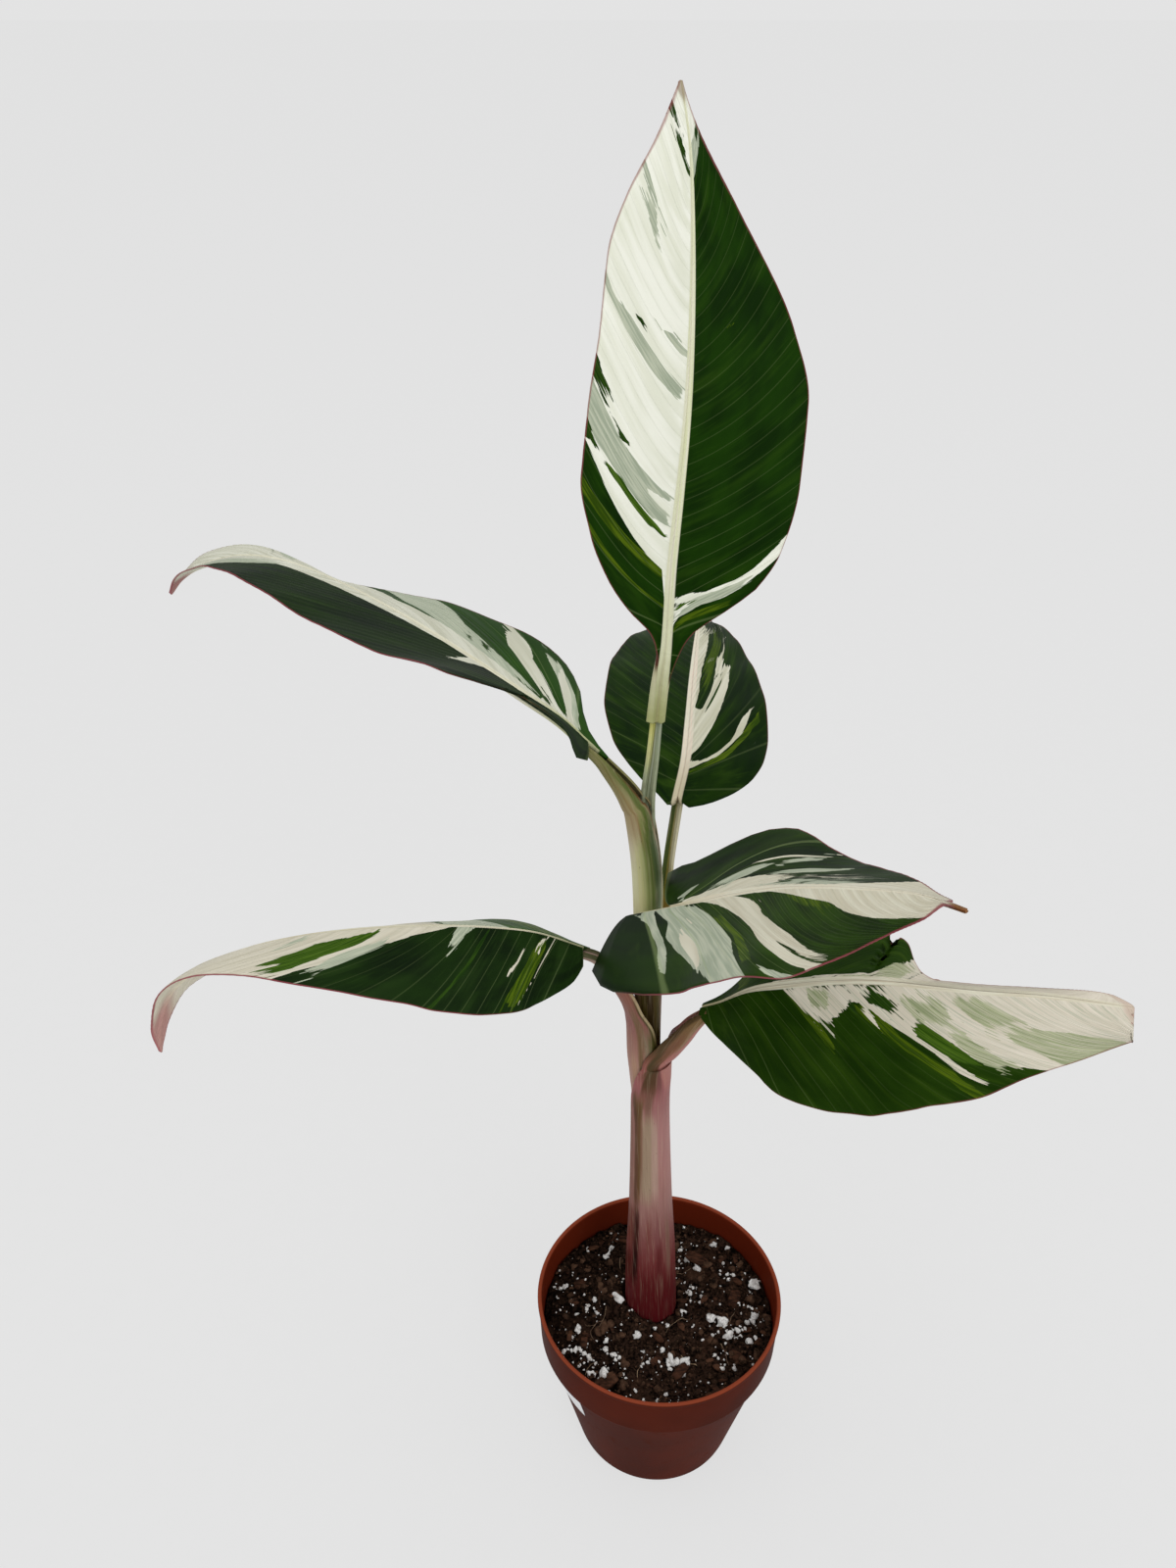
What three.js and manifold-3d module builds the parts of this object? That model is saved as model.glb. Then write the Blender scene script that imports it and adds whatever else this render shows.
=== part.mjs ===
// A young variegated banana plant in a round nursery pot.
// Six leaves, each a rolled sheath and leafstalk with its blade, stand on a corm in potting soil.
// Millimetres, +Z up, origin at the centre of the pot's underside, the front towards -Y.

import * as THREE from 'three';
import { mergeVertices } from 'three/addons/utils/BufferGeometryUtils.js';
import Module from 'manifold-3d';

const wasm = await Module();
wasm.setup();

// Pot: a thin moulded cup with a deep collar, four inches across
const POT_HEIGHT = 84;
const RIM_RADIUS = 52.5;
const BASE_RADIUS = 35;
const WALL = 1.4;
const COLLAR_DEPTH = 21;
const COLLAR_STEP = 3.2;
const COLLAR_TAPER = 1.2;
const FOOT_WIDTH = 3;
const FLOOR_LIFT = 2.2;
const PAD_RADIUS = 9;
const DRAIN_HOLES = 6;
const DRAIN_RADIUS = 4;
const DRAIN_CIRCLE = 23;
const PAD_SLOPE = 1.5;
const POT_SIDES = 40;
const COLLAR_FOOT = POT_HEIGHT - COLLAR_DEPTH;
const COLLAR_RADIUS = RIM_RADIUS - COLLAR_TAPER;

// Soil: fills the pot to just under the rim, with a plain blind hole for the stem
const SOIL_TOP = 70;
const SOIL_LUMP = 1.6;
const SOIL_LOOSE = 0.5;
const SOIL_RINGS = 11;
const SOIL_SIDES = 36;
const FIT_GAP = 0.3;

// Stem: the six nested sheaths, leaning slightly to the left as they rise
const STEM_FOOT = new THREE.Vector3(-3.3, 7, 62);
const STEM_TOP = new THREE.Vector3(-10.6, 7, 326);
const HOLE_RADIUS = 12.6;
const CORM_RADIUS = 12.2;
const CORM_HEIGHT = 17;
const CORM_TURNS = [0.1, 0.35, 0.7];

// Blades
const BLADE_THICKNESS = 0.8;
const BLADE_ROWS = 15;
const BLADE_STOPS = [0, 0.08, 0.25, 0.5, 0.76, 1];
const SHEATH_SPAN = 9;
const NEST_GAP = 0.2;
const BRIM_DROP = 2.4;

// Smooth value through [place, value] stops, with no overshoot
function profile(stops, place) {
  const last = stops.length - 1;
  const x = Math.min(Math.max(place, stops[0][0]), stops[last][0]);
  const slopes = [];
  for (let i = 0; i < last; i++) {
    slopes.push((stops[i + 1][1] - stops[i][1]) / (stops[i + 1][0] - stops[i][0]));
  }
  const tangent = (i) => {
    if (i === 0) return slopes[0];
    if (i === last) return slopes[last - 1];
    const a = slopes[i - 1];
    const b = slopes[i];
    return a * b <= 0 ? 0 : (2 * a * b) / (a + b);
  };
  let i = 0;
  while (i < last - 1 && x > stops[i + 1][0]) i++;
  const h = stops[i + 1][0] - stops[i][0];
  const s = (x - stops[i][0]) / h;
  const a = stops[i][1];
  const b = stops[i + 1][1];
  return (2 * s ** 3 - 3 * s ** 2 + 1) * a + (s ** 3 - 2 * s ** 2 + s) * h * tangent(i)
    + (3 * s ** 2 - 2 * s ** 3) * b + (s ** 3 - s ** 2) * h * tangent(i + 1);
}

function radians(degrees) {
  return (degrees * Math.PI) / 180;
}

function bodyFrom(positions, triangles) {
  const geometry = new THREE.BufferGeometry();
  geometry.setAttribute('position', new THREE.Float32BufferAttribute(positions, 3));
  geometry.setIndex(triangles);
  return geometry;
}

function solidFrom(geometry) {
  const bare = geometry.clone();
  bare.deleteAttribute('normal');
  bare.deleteAttribute('uv');
  const merged = mergeVertices(bare, 1e-4);
  return new wasm.Manifold(new wasm.Mesh({
    numProp: 3,
    vertProperties: new Float32Array(merged.attributes.position.array),
    triVerts: new Uint32Array(merged.index.array),
  }));
}

function geometryFrom(solid) {
  const mesh = solid.getMesh();
  return bodyFrom(Array.from(mesh.vertProperties), Array.from(mesh.triVerts));
}

function largestOf(solid) {
  return solid.decompose().reduce((best, piece) => (piece.volume() > best.volume() ? piece : best));
}

function lathe(outline, sides) {
  const points = outline.map(([r, z]) => new THREE.Vector2(r, z));
  const geometry = new THREE.LatheGeometry(points, sides);
  geometry.rotateX(Math.PI / 2);
  return geometry;
}

// Tubes and sheets are made of rings of points; this joins rings of equal length into one closed skin
function skinOf(rings) {
  const positions = [];
  const triangles = [];
  const count = rings[0].length;
  for (const ring of rings) for (const p of ring) positions.push(p.x, p.y, p.z);
  for (let i = 0; i < rings.length - 1; i++) {
    for (let j = 0; j < count; j++) {
      const a = i * count + j;
      const b = i * count + ((j + 1) % count);
      triangles.push(a, b, b + count, a, b + count, a + count);
    }
  }
  return { positions, triangles, count, last: (rings.length - 1) * count };
}

// Pot

// The outside of the pot's tapered wall, below the collar
function potRadius(z) {
  return BASE_RADIUS + ((RIM_RADIUS - COLLAR_STEP - BASE_RADIUS) * z) / COLLAR_FOOT;
}

function makePot() {
  const top = POT_HEIGHT;
  const innerFloor = FLOOR_LIFT + WALL;
  const outline = [
    [0, 0], [PAD_RADIUS, 0], [PAD_RADIUS + PAD_SLOPE, FLOOR_LIFT],
    [BASE_RADIUS - FOOT_WIDTH - 1, FLOOR_LIFT], [BASE_RADIUS - FOOT_WIDTH, 0],
    [BASE_RADIUS - 0.6, 0], [BASE_RADIUS, 0.8],
    [potRadius(COLLAR_FOOT - 1), COLLAR_FOOT - 1], [COLLAR_RADIUS - 0.5, COLLAR_FOOT],
    [COLLAR_RADIUS, COLLAR_FOOT + 0.6], [RIM_RADIUS - 0.4, top - 1.2], [RIM_RADIUS, top - 0.8],
    [RIM_RADIUS - 0.3, top], [RIM_RADIUS - WALL - 0.2, top], [RIM_RADIUS - WALL - 0.4, top - 1],
    [COLLAR_RADIUS - WALL, COLLAR_FOOT + 1.8], [potRadius(COLLAR_FOOT) - WALL, COLLAR_FOOT - 1],
    [BASE_RADIUS - WALL + 0.3, innerFloor + 0.4], [BASE_RADIUS - WALL - 1, innerFloor],
    [0, innerFloor],
  ];
  let pot = solidFrom(lathe(outline, POT_SIDES));
  for (let i = 0; i < DRAIN_HOLES; i++) {
    const angle = (2 * Math.PI * i) / DRAIN_HOLES;
    const drill = new THREE.CylinderGeometry(DRAIN_RADIUS, DRAIN_RADIUS, 12, 12);
    drill.rotateX(Math.PI / 2);
    drill.translate(DRAIN_CIRCLE * Math.cos(angle), DRAIN_CIRCLE * Math.sin(angle), FLOOR_LIFT);
    pot = pot.subtract(solidFrom(drill));
  }
  return geometryFrom(pot);
}

// Soil

// The lumpy surface: a few waves across one another, and the mix heaped against the stem's front left
function soilHeight(x, y) {
  const lump = Math.sin(0.31 * x + 1.3) * Math.cos(0.27 * y - 0.4)
    + 0.7 * Math.sin(0.62 * y + 0.5 * x) + 0.5 * Math.cos(0.9 * x - 0.4 * y + 2);
  const heap = 8 * Math.exp(-((x + 19) ** 2 + (y - 5) ** 2) / 98)
    + 5 * Math.exp(-((x + 11) ** 2 + (y + 6) ** 2) / 32);
  return SOIL_TOP + SOIL_LUMP * 0.6 * lump + heap;
}

function makeSoil() {
  const floor = FLOOR_LIFT + WALL + FIT_GAP;
  const shoulder = COLLAR_FOOT - 2;
  const cornerReach = Math.cos(Math.PI / SOIL_SIDES);
  const inside = (z) => (potRadius(z) - WALL - FIT_GAP - SOIL_LOOSE) / cornerReach - 0.2;
  const crown = COLLAR_RADIUS - WALL - FIT_GAP - SOIL_LOOSE;
  const pit = STEM_FOOT.z - CORM_HEIGHT - 2 * FIT_GAP;
  const rings = [];
  const ring = (radius, z, cx = 0, cy = 0) => {
    const points = [];
    for (let j = 0; j < SOIL_SIDES; j++) {
      const angle = (2 * Math.PI * j) / SOIL_SIDES;
      const x = cx + radius * Math.cos(angle);
      const y = cy + radius * Math.sin(angle);
      points.push(new THREE.Vector3(x, y, typeof z === 'function' ? z(x, y) : z));
    }
    rings.push(points);
  };
  ring(inside(floor) - 1, floor);
  ring(inside(floor + 2), floor + 2);
  ring(inside(shoulder), shoulder);
  ring(crown, COLLAR_FOOT + 3);
  for (let i = 0; i < SOIL_RINGS; i++) {
    const share = i / (SOIL_RINGS - 1);
    const radius = crown + (HOLE_RADIUS - crown) * share;
    ring(radius, soilHeight, STEM_FOOT.x * share, STEM_FOOT.y * share);
  }
  ring(HOLE_RADIUS, pit, STEM_FOOT.x, STEM_FOOT.y);
  const skin = skinOf(rings);
  const foot = skin.positions.length / 3;
  skin.positions.push(0, 0, floor, STEM_FOOT.x, STEM_FOOT.y, pit);
  for (let j = 0; j < skin.count; j++) {
    const next = (j + 1) % skin.count;
    skin.triangles.push(foot, next, j, foot + 1, skin.last + j, skin.last + next);
  }
  return bodyFrom(skin.positions, skin.triangles);
}

// Corm: the short underground stem that the sheaths grow from

function makeCorm() {
  const outline = [[0, -CORM_HEIGHT]];
  for (const share of CORM_TURNS) {
    const angle = (share * Math.PI) / 2;
    outline.push([CORM_RADIUS * Math.sin(angle + 0.35), -CORM_HEIGHT * Math.cos(angle)]);
  }
  outline.push([CORM_RADIUS, -2.5], [CORM_RADIUS - 1, -FIT_GAP], [0, -FIT_GAP]);
  const corm = lathe(outline, 20);
  corm.translate(STEM_FOOT.x, STEM_FOOT.y, STEM_FOOT.z);
  return corm;
}

// Leaves. route: the leafstalk's line once it leaves the stem. sheath: [height, outer radius, wall,
// half wrap in degrees] up the stem. petiole: [outer radius, wall, half wrap] along the leafstalk.
// spine: the midrib, and roll the blade's turn about it. rib: the midrib's depth under the blade.
// Each half has its widths, its fold up from level, its curl and the forward sweep of its veins.
const LEAVES = [
  {
    name: 'lower_right', back: -35, front: [0, 0, 1], lobe: 0.6,
    sheath: [[62, 12, 1.7, 126], [103, 11.2, 1.6, 124], [140, 9.5, 1.4, 120], [190, 8.3, 1.2, 118],
      [206, 8.8, 1.2, 99], [219, 9.9, 1.4, 66]],
    route: [[-1.8, 1.8, 226.7], [3, -4, 236.6], [6.9, -7.2, 245.3]],
    petiole: [[6.6, 1.7, 98], [4.6, 1.9, 124], [3.6, 1.9, 134], [2.4, 1.9, 112]],
    spine: [[9.9, -8, 253.9], [16, -10, 258], [25, -14, 267], [36, -18, 273], [52, -24, 280],
      [66, -30, 285], [80, -36, 288], [94, -42, 291], [114, -48, 294], [138, -54.5, 295]],
    roll: 0,
    rib: [[0, 3.2], [1, 1.8]],
    left: {
      width: [[-0.01, 1.5], [0.03, 3], [0.07, 6.5], [0.11, 13], [0.16, 19], [0.245, 25], [0.36, 28.5],
        [0.44, 25.5], [0.48, 21.5], [0.52, 13], [0.556, 6], [0.594, 3], [0.8, 3.4], [0.93, 5], [1, 4.5]],
      fold: [[0, 0], [1, 0]], curl: [[0, 0], [1, 0]],
      sweep: [[0, 0], [0.245, 0.028], [0.53, 0.028], [0.81, 0], [1, -0.04]],
    },
    right: {
      width: [[-0.012, 2.5], [0, 6], [0.037, 14], [0.084, 23.5], [0.131, 30.5], [0.188, 36],
        [0.264, 40.5], [0.358, 43.3], [0.45, 43.8], [0.53, 42], [0.62, 38], [0.707, 32], [0.81, 25],
        [0.905, 18], [1, 11]],
      fold: [[0, -40], [1, -40]], curl: [[0, -10], [1, 0]],
      sweep: [[0, -0.012], [0.06, -0.015], [0.245, 0.047], [0.53, 0.094], [0.81, 0.06], [1, 0.06]],
    },
  },
  {
    name: 'lower_left', back: 200, front: [0, 0, 1], lobe: 0.6,
    sheath: [[62, 9.8, 1.5, 130], [103, 9.1, 1.4, 128], [140, 7.4, 1.1, 120], [190, 6.6, 1, 112],
      [206, 7.3, 1.1, 106], [219, 8.2, 1.2, 96], [236, 8.6, 1.3, 78]],
    route: [[-11.4, 4.6, 246.5], [-16.6, 1.5, 256], [-22.4, -1.4, 266], [-27.5, -3.8, 273.5]],
    petiole: [[7.2, 1.5, 68], [5.2, 1.8, 84], [3.7, 2, 96], [2.9, 2, 100], [2.4, 1.9, 98]],
    spine: [[-33, -5, 279], [-48, -6, 286], [-64, -8, 290], [-81, -10, 292.3], [-97, -12, 293.4],
      [-113, -14, 293.5], [-130, -16, 292], [-146, -18, 288.8], [-162, -20, 282.8], [-173, -21, 273],
      [-179, -22, 259], [-181, -22, 246]],
    roll: 0,
    rib: [[0, 3], [0.6, 1.6], [1, 0.4]],
    left: {
      width: [[-0.012, 7], [0, 13], [0.03, 19.5], [0.06, 24], [0.1, 27.5], [0.15, 30], [0.22, 32],
        [0.29, 31], [0.36, 28], [0.46, 25], [0.55, 22], [0.65, 17], [0.76, 11], [0.88, 6], [1, 0.5]],
      fold: [[0, -30], [0.3, -22], [0.47, -3], [0.6, 16], [0.7, 29], [0.78, 36], [1, 32]],
      curl: [[0, -8], [1, -5]], sweep: [[0, -0.012], [0.2, 0.05], [0.5, 0.1], [0.8, 0.08], [1, 0]],
    },
    right: {
      width: [[-0.02, 6], [0.06, 20], [0.15, 29], [0.3, 32], [0.5, 28], [0.7, 19], [0.85, 9],
        [1, 0.5]],
      fold: [[0, -26], [0.12, -27], [0.3, -33], [0.5, -38], [0.8, -40], [1, -30]], curl: [[0, -10], [1, -10]],
      sweep: [[0, -0.03], [0.2, 0.05], [0.5, 0.1], [0.8, 0.08], [1, 0]],
    },
  },
  {
    name: 'front', back: -85, front: [0, 0, 1], lobe: 0.6,
    sheath: [[62, 7.9, 1.4, 135], [103, 7.3, 1.3, 135], [140, 5.9, 0.9, 130], [190, 4.5, 0.8, 120],
      [220, 4.6, 0.9, 105], [240, 5.0, 1.0, 85], [258, 6.2, 1.2, 70]],
    route: [[-5.5, -1.5, 277], [-5, -10, 293]],
    petiole: [[4.4, 1.8, 80], [3.5, 2.0, 90], [3.0, 2.0, 95]],
    spine: [[-3, -16, 305], [4, -24, 313], [13, -36, 325], [23, -53, 340], [31, -70, 353], [40, -86, 364],
      [48, -100, 373], [53, -110, 378], [57, -116, 380]],
    roll: 42,
    rib: [[0, 2.8], [0.6, 1.5], [1, 0.4]],
    left: {
      width: [[-0.13, 18.5], [-0.12, 20], [-0.1, 21], [-0.045, 21.5], [0.027, 24.5], [0.098, 29.8],
        [0.15, 32.5], [0.22, 33.3], [0.3, 30.5], [0.38, 26.5], [0.52, 22.5], [0.65, 19.5], [0.78, 14],
        [0.88, 8], [0.93, 5.5], [0.96, 0.9], [1, 0.5]],
      fold: [[0, -19], [0.2, -22], [0.35, -35], [0.5, -45], [0.66, -51], [0.81, -62], [1, -66]],
      curl: [[0, 0], [1, 0]], sweep: [[0, -0.13], [0.2, 0.03], [0.5, 0.1], [0.8, 0.08], [1, 0]],
    },
    right: {
      lobe: 0.1,
      width: [[-0.27, 20.5], [-0.235, 24.3], [-0.186, 28], [-0.164, 29], [-0.1, 30.5], [0.05, 33],
        [0.2, 33.5], [0.35, 33], [0.5, 31], [0.62, 28.5], [0.72, 24], [0.82, 16], [0.89, 10.5],
        [0.93, 6], [0.96, 0.9], [1, 0.5]],
      fold: [[0, 3], [1, 0]], curl: [[0, 0], [1, 0]],
      sweep: [[0, -0.27], [0.2, -0.05], [0.5, 0.06], [0.8, 0.06], [1, 0]],
    },
  },
  {
    name: 'rear', back: 82, front: [0, 0, 1], lobe: 0.6,
    sheath: [[62, 6.1, 1.2, 130], [103, 5.6, 1.1, 130], [140, 4.7, 0.9, 125], [190, 3.4, 0.8, 115],
      [220, 3.4, 0.8, 105], [245, 5.2, 1.0, 78], [262, 6.4, 1.2, 62]],
    route: [[-3.4, 15, 284], [-1.6, 22, 298]],
    petiole: [[2.8, 1.7, 84], [2.2, 1.7, 95], [2.2, 1.8, 95]],
    spine: [[1.4, 32, 318], [5, 48, 323], [8, 72, 327], [11, 100, 329], [15, 135, 328], [19, 170, 322],
      [22, 195, 313]],
    roll: 0,
    rib: [[0, 2.8], [0.6, 1.6], [1, 0.4]],
    left: {
      width: [[-0.03, 3], [0, 8], [0.03, 14.5], [0.08, 21.5], [0.17, 28.5], [0.33, 34], [0.5, 34.5],
        [0.7, 29], [0.85, 18], [0.95, 8], [1, 0.5]],
      fold: [[0, 5], [1, 0]], curl: [[0, -8], [1, -15]],
      sweep: [[0, -0.03], [0.2, 0.05], [0.5, 0.1], [0.8, 0.1], [1, 0]],
    },
    right: {
      width: [[-0.035, 2.5], [-0.025, 7.5], [-0.01, 12.5], [0.01, 17], [0.03, 20.5], [0.07, 25.5],
        [0.12, 28.5], [0.2, 29.8], [0.32, 29], [0.46, 26], [0.62, 20.5], [0.8, 13], [0.93, 6], [1, 0.5]],
      fold: [[0, 5], [1, 0]], curl: [[0, -8], [1, -15]],
      sweep: [[0, -0.03], [0.2, 0.05], [0.5, 0.1], [0.8, 0.1], [1, 0]],
    },
  },
  {
    name: 'upper_left', back: 170, front: [0, 0, 1], lobe: 0.6,
    sheath: [[62, 4.6, 1.2, 140], [103, 4.2, 1.1, 140], [140, 3.5, 0.8, 140], [190, 2.4, 0.7, 140],
      [220, 2.3, 0.7, 140], [245, 3.9, 0.9, 150], [262, 4.9, 1, 160], [300, 5.5, 1.1, 165]],
    route: [[-13.1, 6.6, 325.3], [-15.6, 6.2, 331.6], [-18.8, 5.7, 337.6], [-23.2, 5.4, 344.0],
      [-27.2, 6, 348.8]],
    petiole: [[5.2, 1.3, 158], [4.6, 1.5, 154], [3.9, 1.6, 150], [3.1, 1.7, 146], [2.5, 1.7, 138],
      [2.2, 1.7, 112]],
    spine: [[-31.5, 8.8, 354.2], [-40, 14, 360], [-54, 22, 366], [-72, 34, 373], [-94, 48, 381],
      [-117, 62, 387], [-138, 74, 390], [-157, 84, 388], [-174, 90, 382], [-183, 93, 376],
      [-189, 95, 369]],
    roll: 0,
    rib: [[0, 2.9], [0.6, 1.6], [1, 0.4]],
    left: {
      width: [[-0.0309, 7], [-0.015, 11], [0, 10], [0.02, 6.6], [0.045, 4.6], [0.09, 3.8], [0.13, 4.5],
        [0.155, 8.5], [0.178, 13.5], [0.2, 18.5], [0.23, 24.5], [0.28, 28], [0.34, 29.5],
        [0.4032, 29.5], [0.5884, 27], [0.7428, 20], [0.8662, 11], [1.0, 0.5]],
      fold: [[0, 5], [0.0225, 20], [0.0739, 25], [0.1562, 24], [0.2488, 14], [0.3826, 8], [0.5884, 9],
        [0.7942, 12], [1, 16]],
      curl: [[0, -10], [1, -8]], sweep: [[0, -0.0309], [0.1768, 0.0823], [0.4855, 0.1235],
        [0.7942, 0.0823], [1, 0.0]],
    },
    right: {
      width: [[-0.05, 0.8], [-0.02, 2.2], [0.007, 4.3], [0.032, 7.8], [0.06, 15.4], [0.093, 23.3],
        [0.144, 29], [0.198, 30.5], [0.28, 31.5], [0.36, 33], [0.43, 33], [0.537, 29.5], [0.6913, 23],
        [0.7942, 18], [0.8971, 11], [1.0, 0.5]],
      fold: [[0, 2], [0.1254, -1], [0.2797, -12], [0.4032, -21], [0.4855, -28], [0.5678, -31],
        [0.6399, -22], [0.7736, 7], [0.8765, 18], [1, 18]],
      curl: [[0, -6], [1, -6]], sweep: [[0, -0.05], [0.1768, 0.0823], [0.4855, 0.1235],
        [0.7942, 0.0823], [1, 0.0]],
    },
  },
  {
    name: 'top', back: 90, front: [0, -1, 0.2], lobe: 0.6,
    sheath: [[62, 3, 1.9, 130], [103, 2.7, 1.8, 130], [140, 2.3, 1.6, 130], [190, 1.35, 1, 130],
      [220, 1.3, 1, 130], [245, 2.5, 1.6, 120], [262, 3.3, 1.9, 115], [300, 3.3, 2, 112],
      [330, 2.7, 2, 106]],
    route: [[-9.4, 7.8, 348]],
    petiole: [[2.3, 1.8, 104], [2.1, 1.8, 100]],
    spine: [[-8.4, 9, 360], [-7.3, 11, 374], [-6, 13, 387], [-5, 17, 410], [-3, 23, 431], [-1, 31, 453],
      [0, 40, 475], [0, 49, 500], [-1, 57, 522], [-4, 63, 540]],
    roll: 0,
    rib: [[0, 2.8], [0.6, 1.5], [1, 0.4]],
    left: {
      width: [[0, 1.5], [0.06, 1.9], [0.105, 2.4], [0.135, 3.6], [0.1616, 6], [0.2043, 14],
        [0.2557, 22], [0.3156, 29], [0.4011, 34], [0.5038, 33.5], [0.615, 31], [0.7433, 28.5],
        [0.8289, 22], [0.9144, 12], [1.0, 0.5]],
      fold: [[0, 48], [0.1, 34], [0.16, 25], [1, 35]], curl: [[0, 8], [1, -8]],
      sweep: [[0, 0], [0.145, -0.017], [0.316, 0.103], [0.573, 0.145], [0.829, 0.103], [1, 0]],
    },
    right: {
      width: [[0, 1.5], [0.06, 2.3], [0.105, 3.6], [0.135, 5.2], [0.1616, 8], [0.2043, 18],
        [0.2471, 27], [0.3156, 33], [0.4182, 36], [0.538, 36], [0.6407, 31], [0.7604, 20], [0.8717, 10],
        [0.9401, 4], [1.0, 0.5]],
      fold: [[0, 42], [0.1, 28], [0.16, 15], [0.573, 5], [0.744, -12], [0.872, -38], [1, -50]],
      curl: [[0, -10], [1, -10]],
      sweep: [[0, 0], [0.145, -0.017], [0.316, 0.051], [0.573, 0.086], [0.829, 0.068], [1, 0]],
    },
  },
];

function toVectors(points) {
  return points.map(([x, y, z]) => new THREE.Vector3(x, y, z));
}

function midribOf(leaf) {
  const curve = new THREE.CatmullRomCurve3(toVectors(leaf.spine), false, 'catmullrom', 0.5);
  curve.arcLengthDivisions = 400;
  return curve;
}

// The midrib's point, its direction, the blade's upward normal and the sideways direction at a share u
function frameAt(leaf, curve, u) {
  const inside = Math.min(Math.max(u, 0), 1);
  const point = curve.getPointAt(inside);
  const along = curve.getTangentAt(inside);
  if (u < 0) point.addScaledVector(along, u * curve.getLength());
  const front = new THREE.Vector3(...leaf.front);
  const up = front.addScaledVector(along, -front.dot(along)).normalize();
  const side = new THREE.Vector3().crossVectors(along, up);
  const turn = radians(leaf.roll);
  const upward = up.clone().multiplyScalar(Math.cos(turn)).addScaledVector(side, Math.sin(turn));
  const sideways = side.multiplyScalar(Math.cos(turn)).addScaledVector(up, -Math.sin(turn));
  return { point, along, upward, sideways };
}

function bladePoint(leaf, curve, t, v) {
  const half = v < 0 ? leaf.left : leaf.right;
  const out = Math.abs(v);
  const sweep = profile(half.sweep, t);
  const lobe = half.lobe ?? leaf.lobe;
  const bend = lobe + (1.5 - lobe) * Math.min(t / 0.3, 1);
  const u = out > 0 ? t + sweep * out ** bend : t;
  const { point, upward, sideways } = frameAt(leaf, curve, u);
  const width = profile(half.width, t + sweep);
  const fold = radians(profile(half.fold, t));
  const curl = radians(profile(half.curl, t)) || 1e-4;
  const across = (width / curl) * (Math.sin(fold + curl * out) - Math.sin(fold));
  const rise = (width / curl) * (Math.cos(fold) - Math.cos(fold + curl * out));
  return point.addScaledVector(sideways, Math.sign(v) * across).addScaledVector(upward, rise);
}

// A thin blade with its midrib raised along the underside, closed round the edge
function makeBlade(leaf) {
  const curve = midribOf(leaf);
  const stops = [...BLADE_STOPS.slice(1).reverse().map((v) => -v), ...BLADE_STOPS];
  const rows = [];
  for (let i = 0; i < BLADE_ROWS; i++) {
    const t = i / (BLADE_ROWS - 1);
    rows.push(stops.map((v) => bladePoint(leaf, curve, t, v)));
  }
  const columns = stops.length;
  const middle = BLADE_STOPS.length - 1;
  const normals = rows.map((row, i) => row.map((_, j) => {
    const ahead = rows[Math.min(i + 1, BLADE_ROWS - 1)][j].clone().sub(rows[Math.max(i - 1, 0)][j]);
    const beside = row[Math.min(j + 1, columns - 1)].clone().sub(row[Math.max(j - 1, 0)]);
    return beside.cross(ahead).normalize();
  }));
  const positions = [];
  const triangles = [];
  rows.forEach((row) => row.forEach((p) => positions.push(p.x, p.y, p.z)));
  rows.forEach((row, i) => row.forEach((p, j) => {
    const ribHere = j === middle ? profile(leaf.rib, i / (BLADE_ROWS - 1)) : 0;
    const q = p.clone().addScaledVector(normals[i][j], -(BLADE_THICKNESS + ribHere));
    positions.push(q.x, q.y, q.z);
  }));
  const under = BLADE_ROWS * columns;
  const quad = (a, b, c, d) => triangles.push(a, b, c, a, c, d);
  for (let i = 0; i < BLADE_ROWS - 1; i++) {
    for (let j = 0; j < columns - 1; j++) {
      const a = i * columns + j;
      quad(a, a + 1, a + columns + 1, a + columns);
      const b = a + under;
      triangles.push(b, b + columns + 1, b + 1, b, b + columns, b + columns + 1);
    }
    const left = i * columns;
    quad(left + columns, left + columns + under, left + under, left);
    const right = left + columns - 1;
    quad(right, right + under, right + columns + under, right + columns);
  }
  const tip = (BLADE_ROWS - 1) * columns;
  for (let j = 0; j < columns - 1; j++) {
    quad(j, j + under, j + 1 + under, j + 1);
    quad(tip + j + 1, tip + j + 1 + under, tip + j + under, tip + j);
  }
  return bodyFrom(positions, triangles);
}

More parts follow.
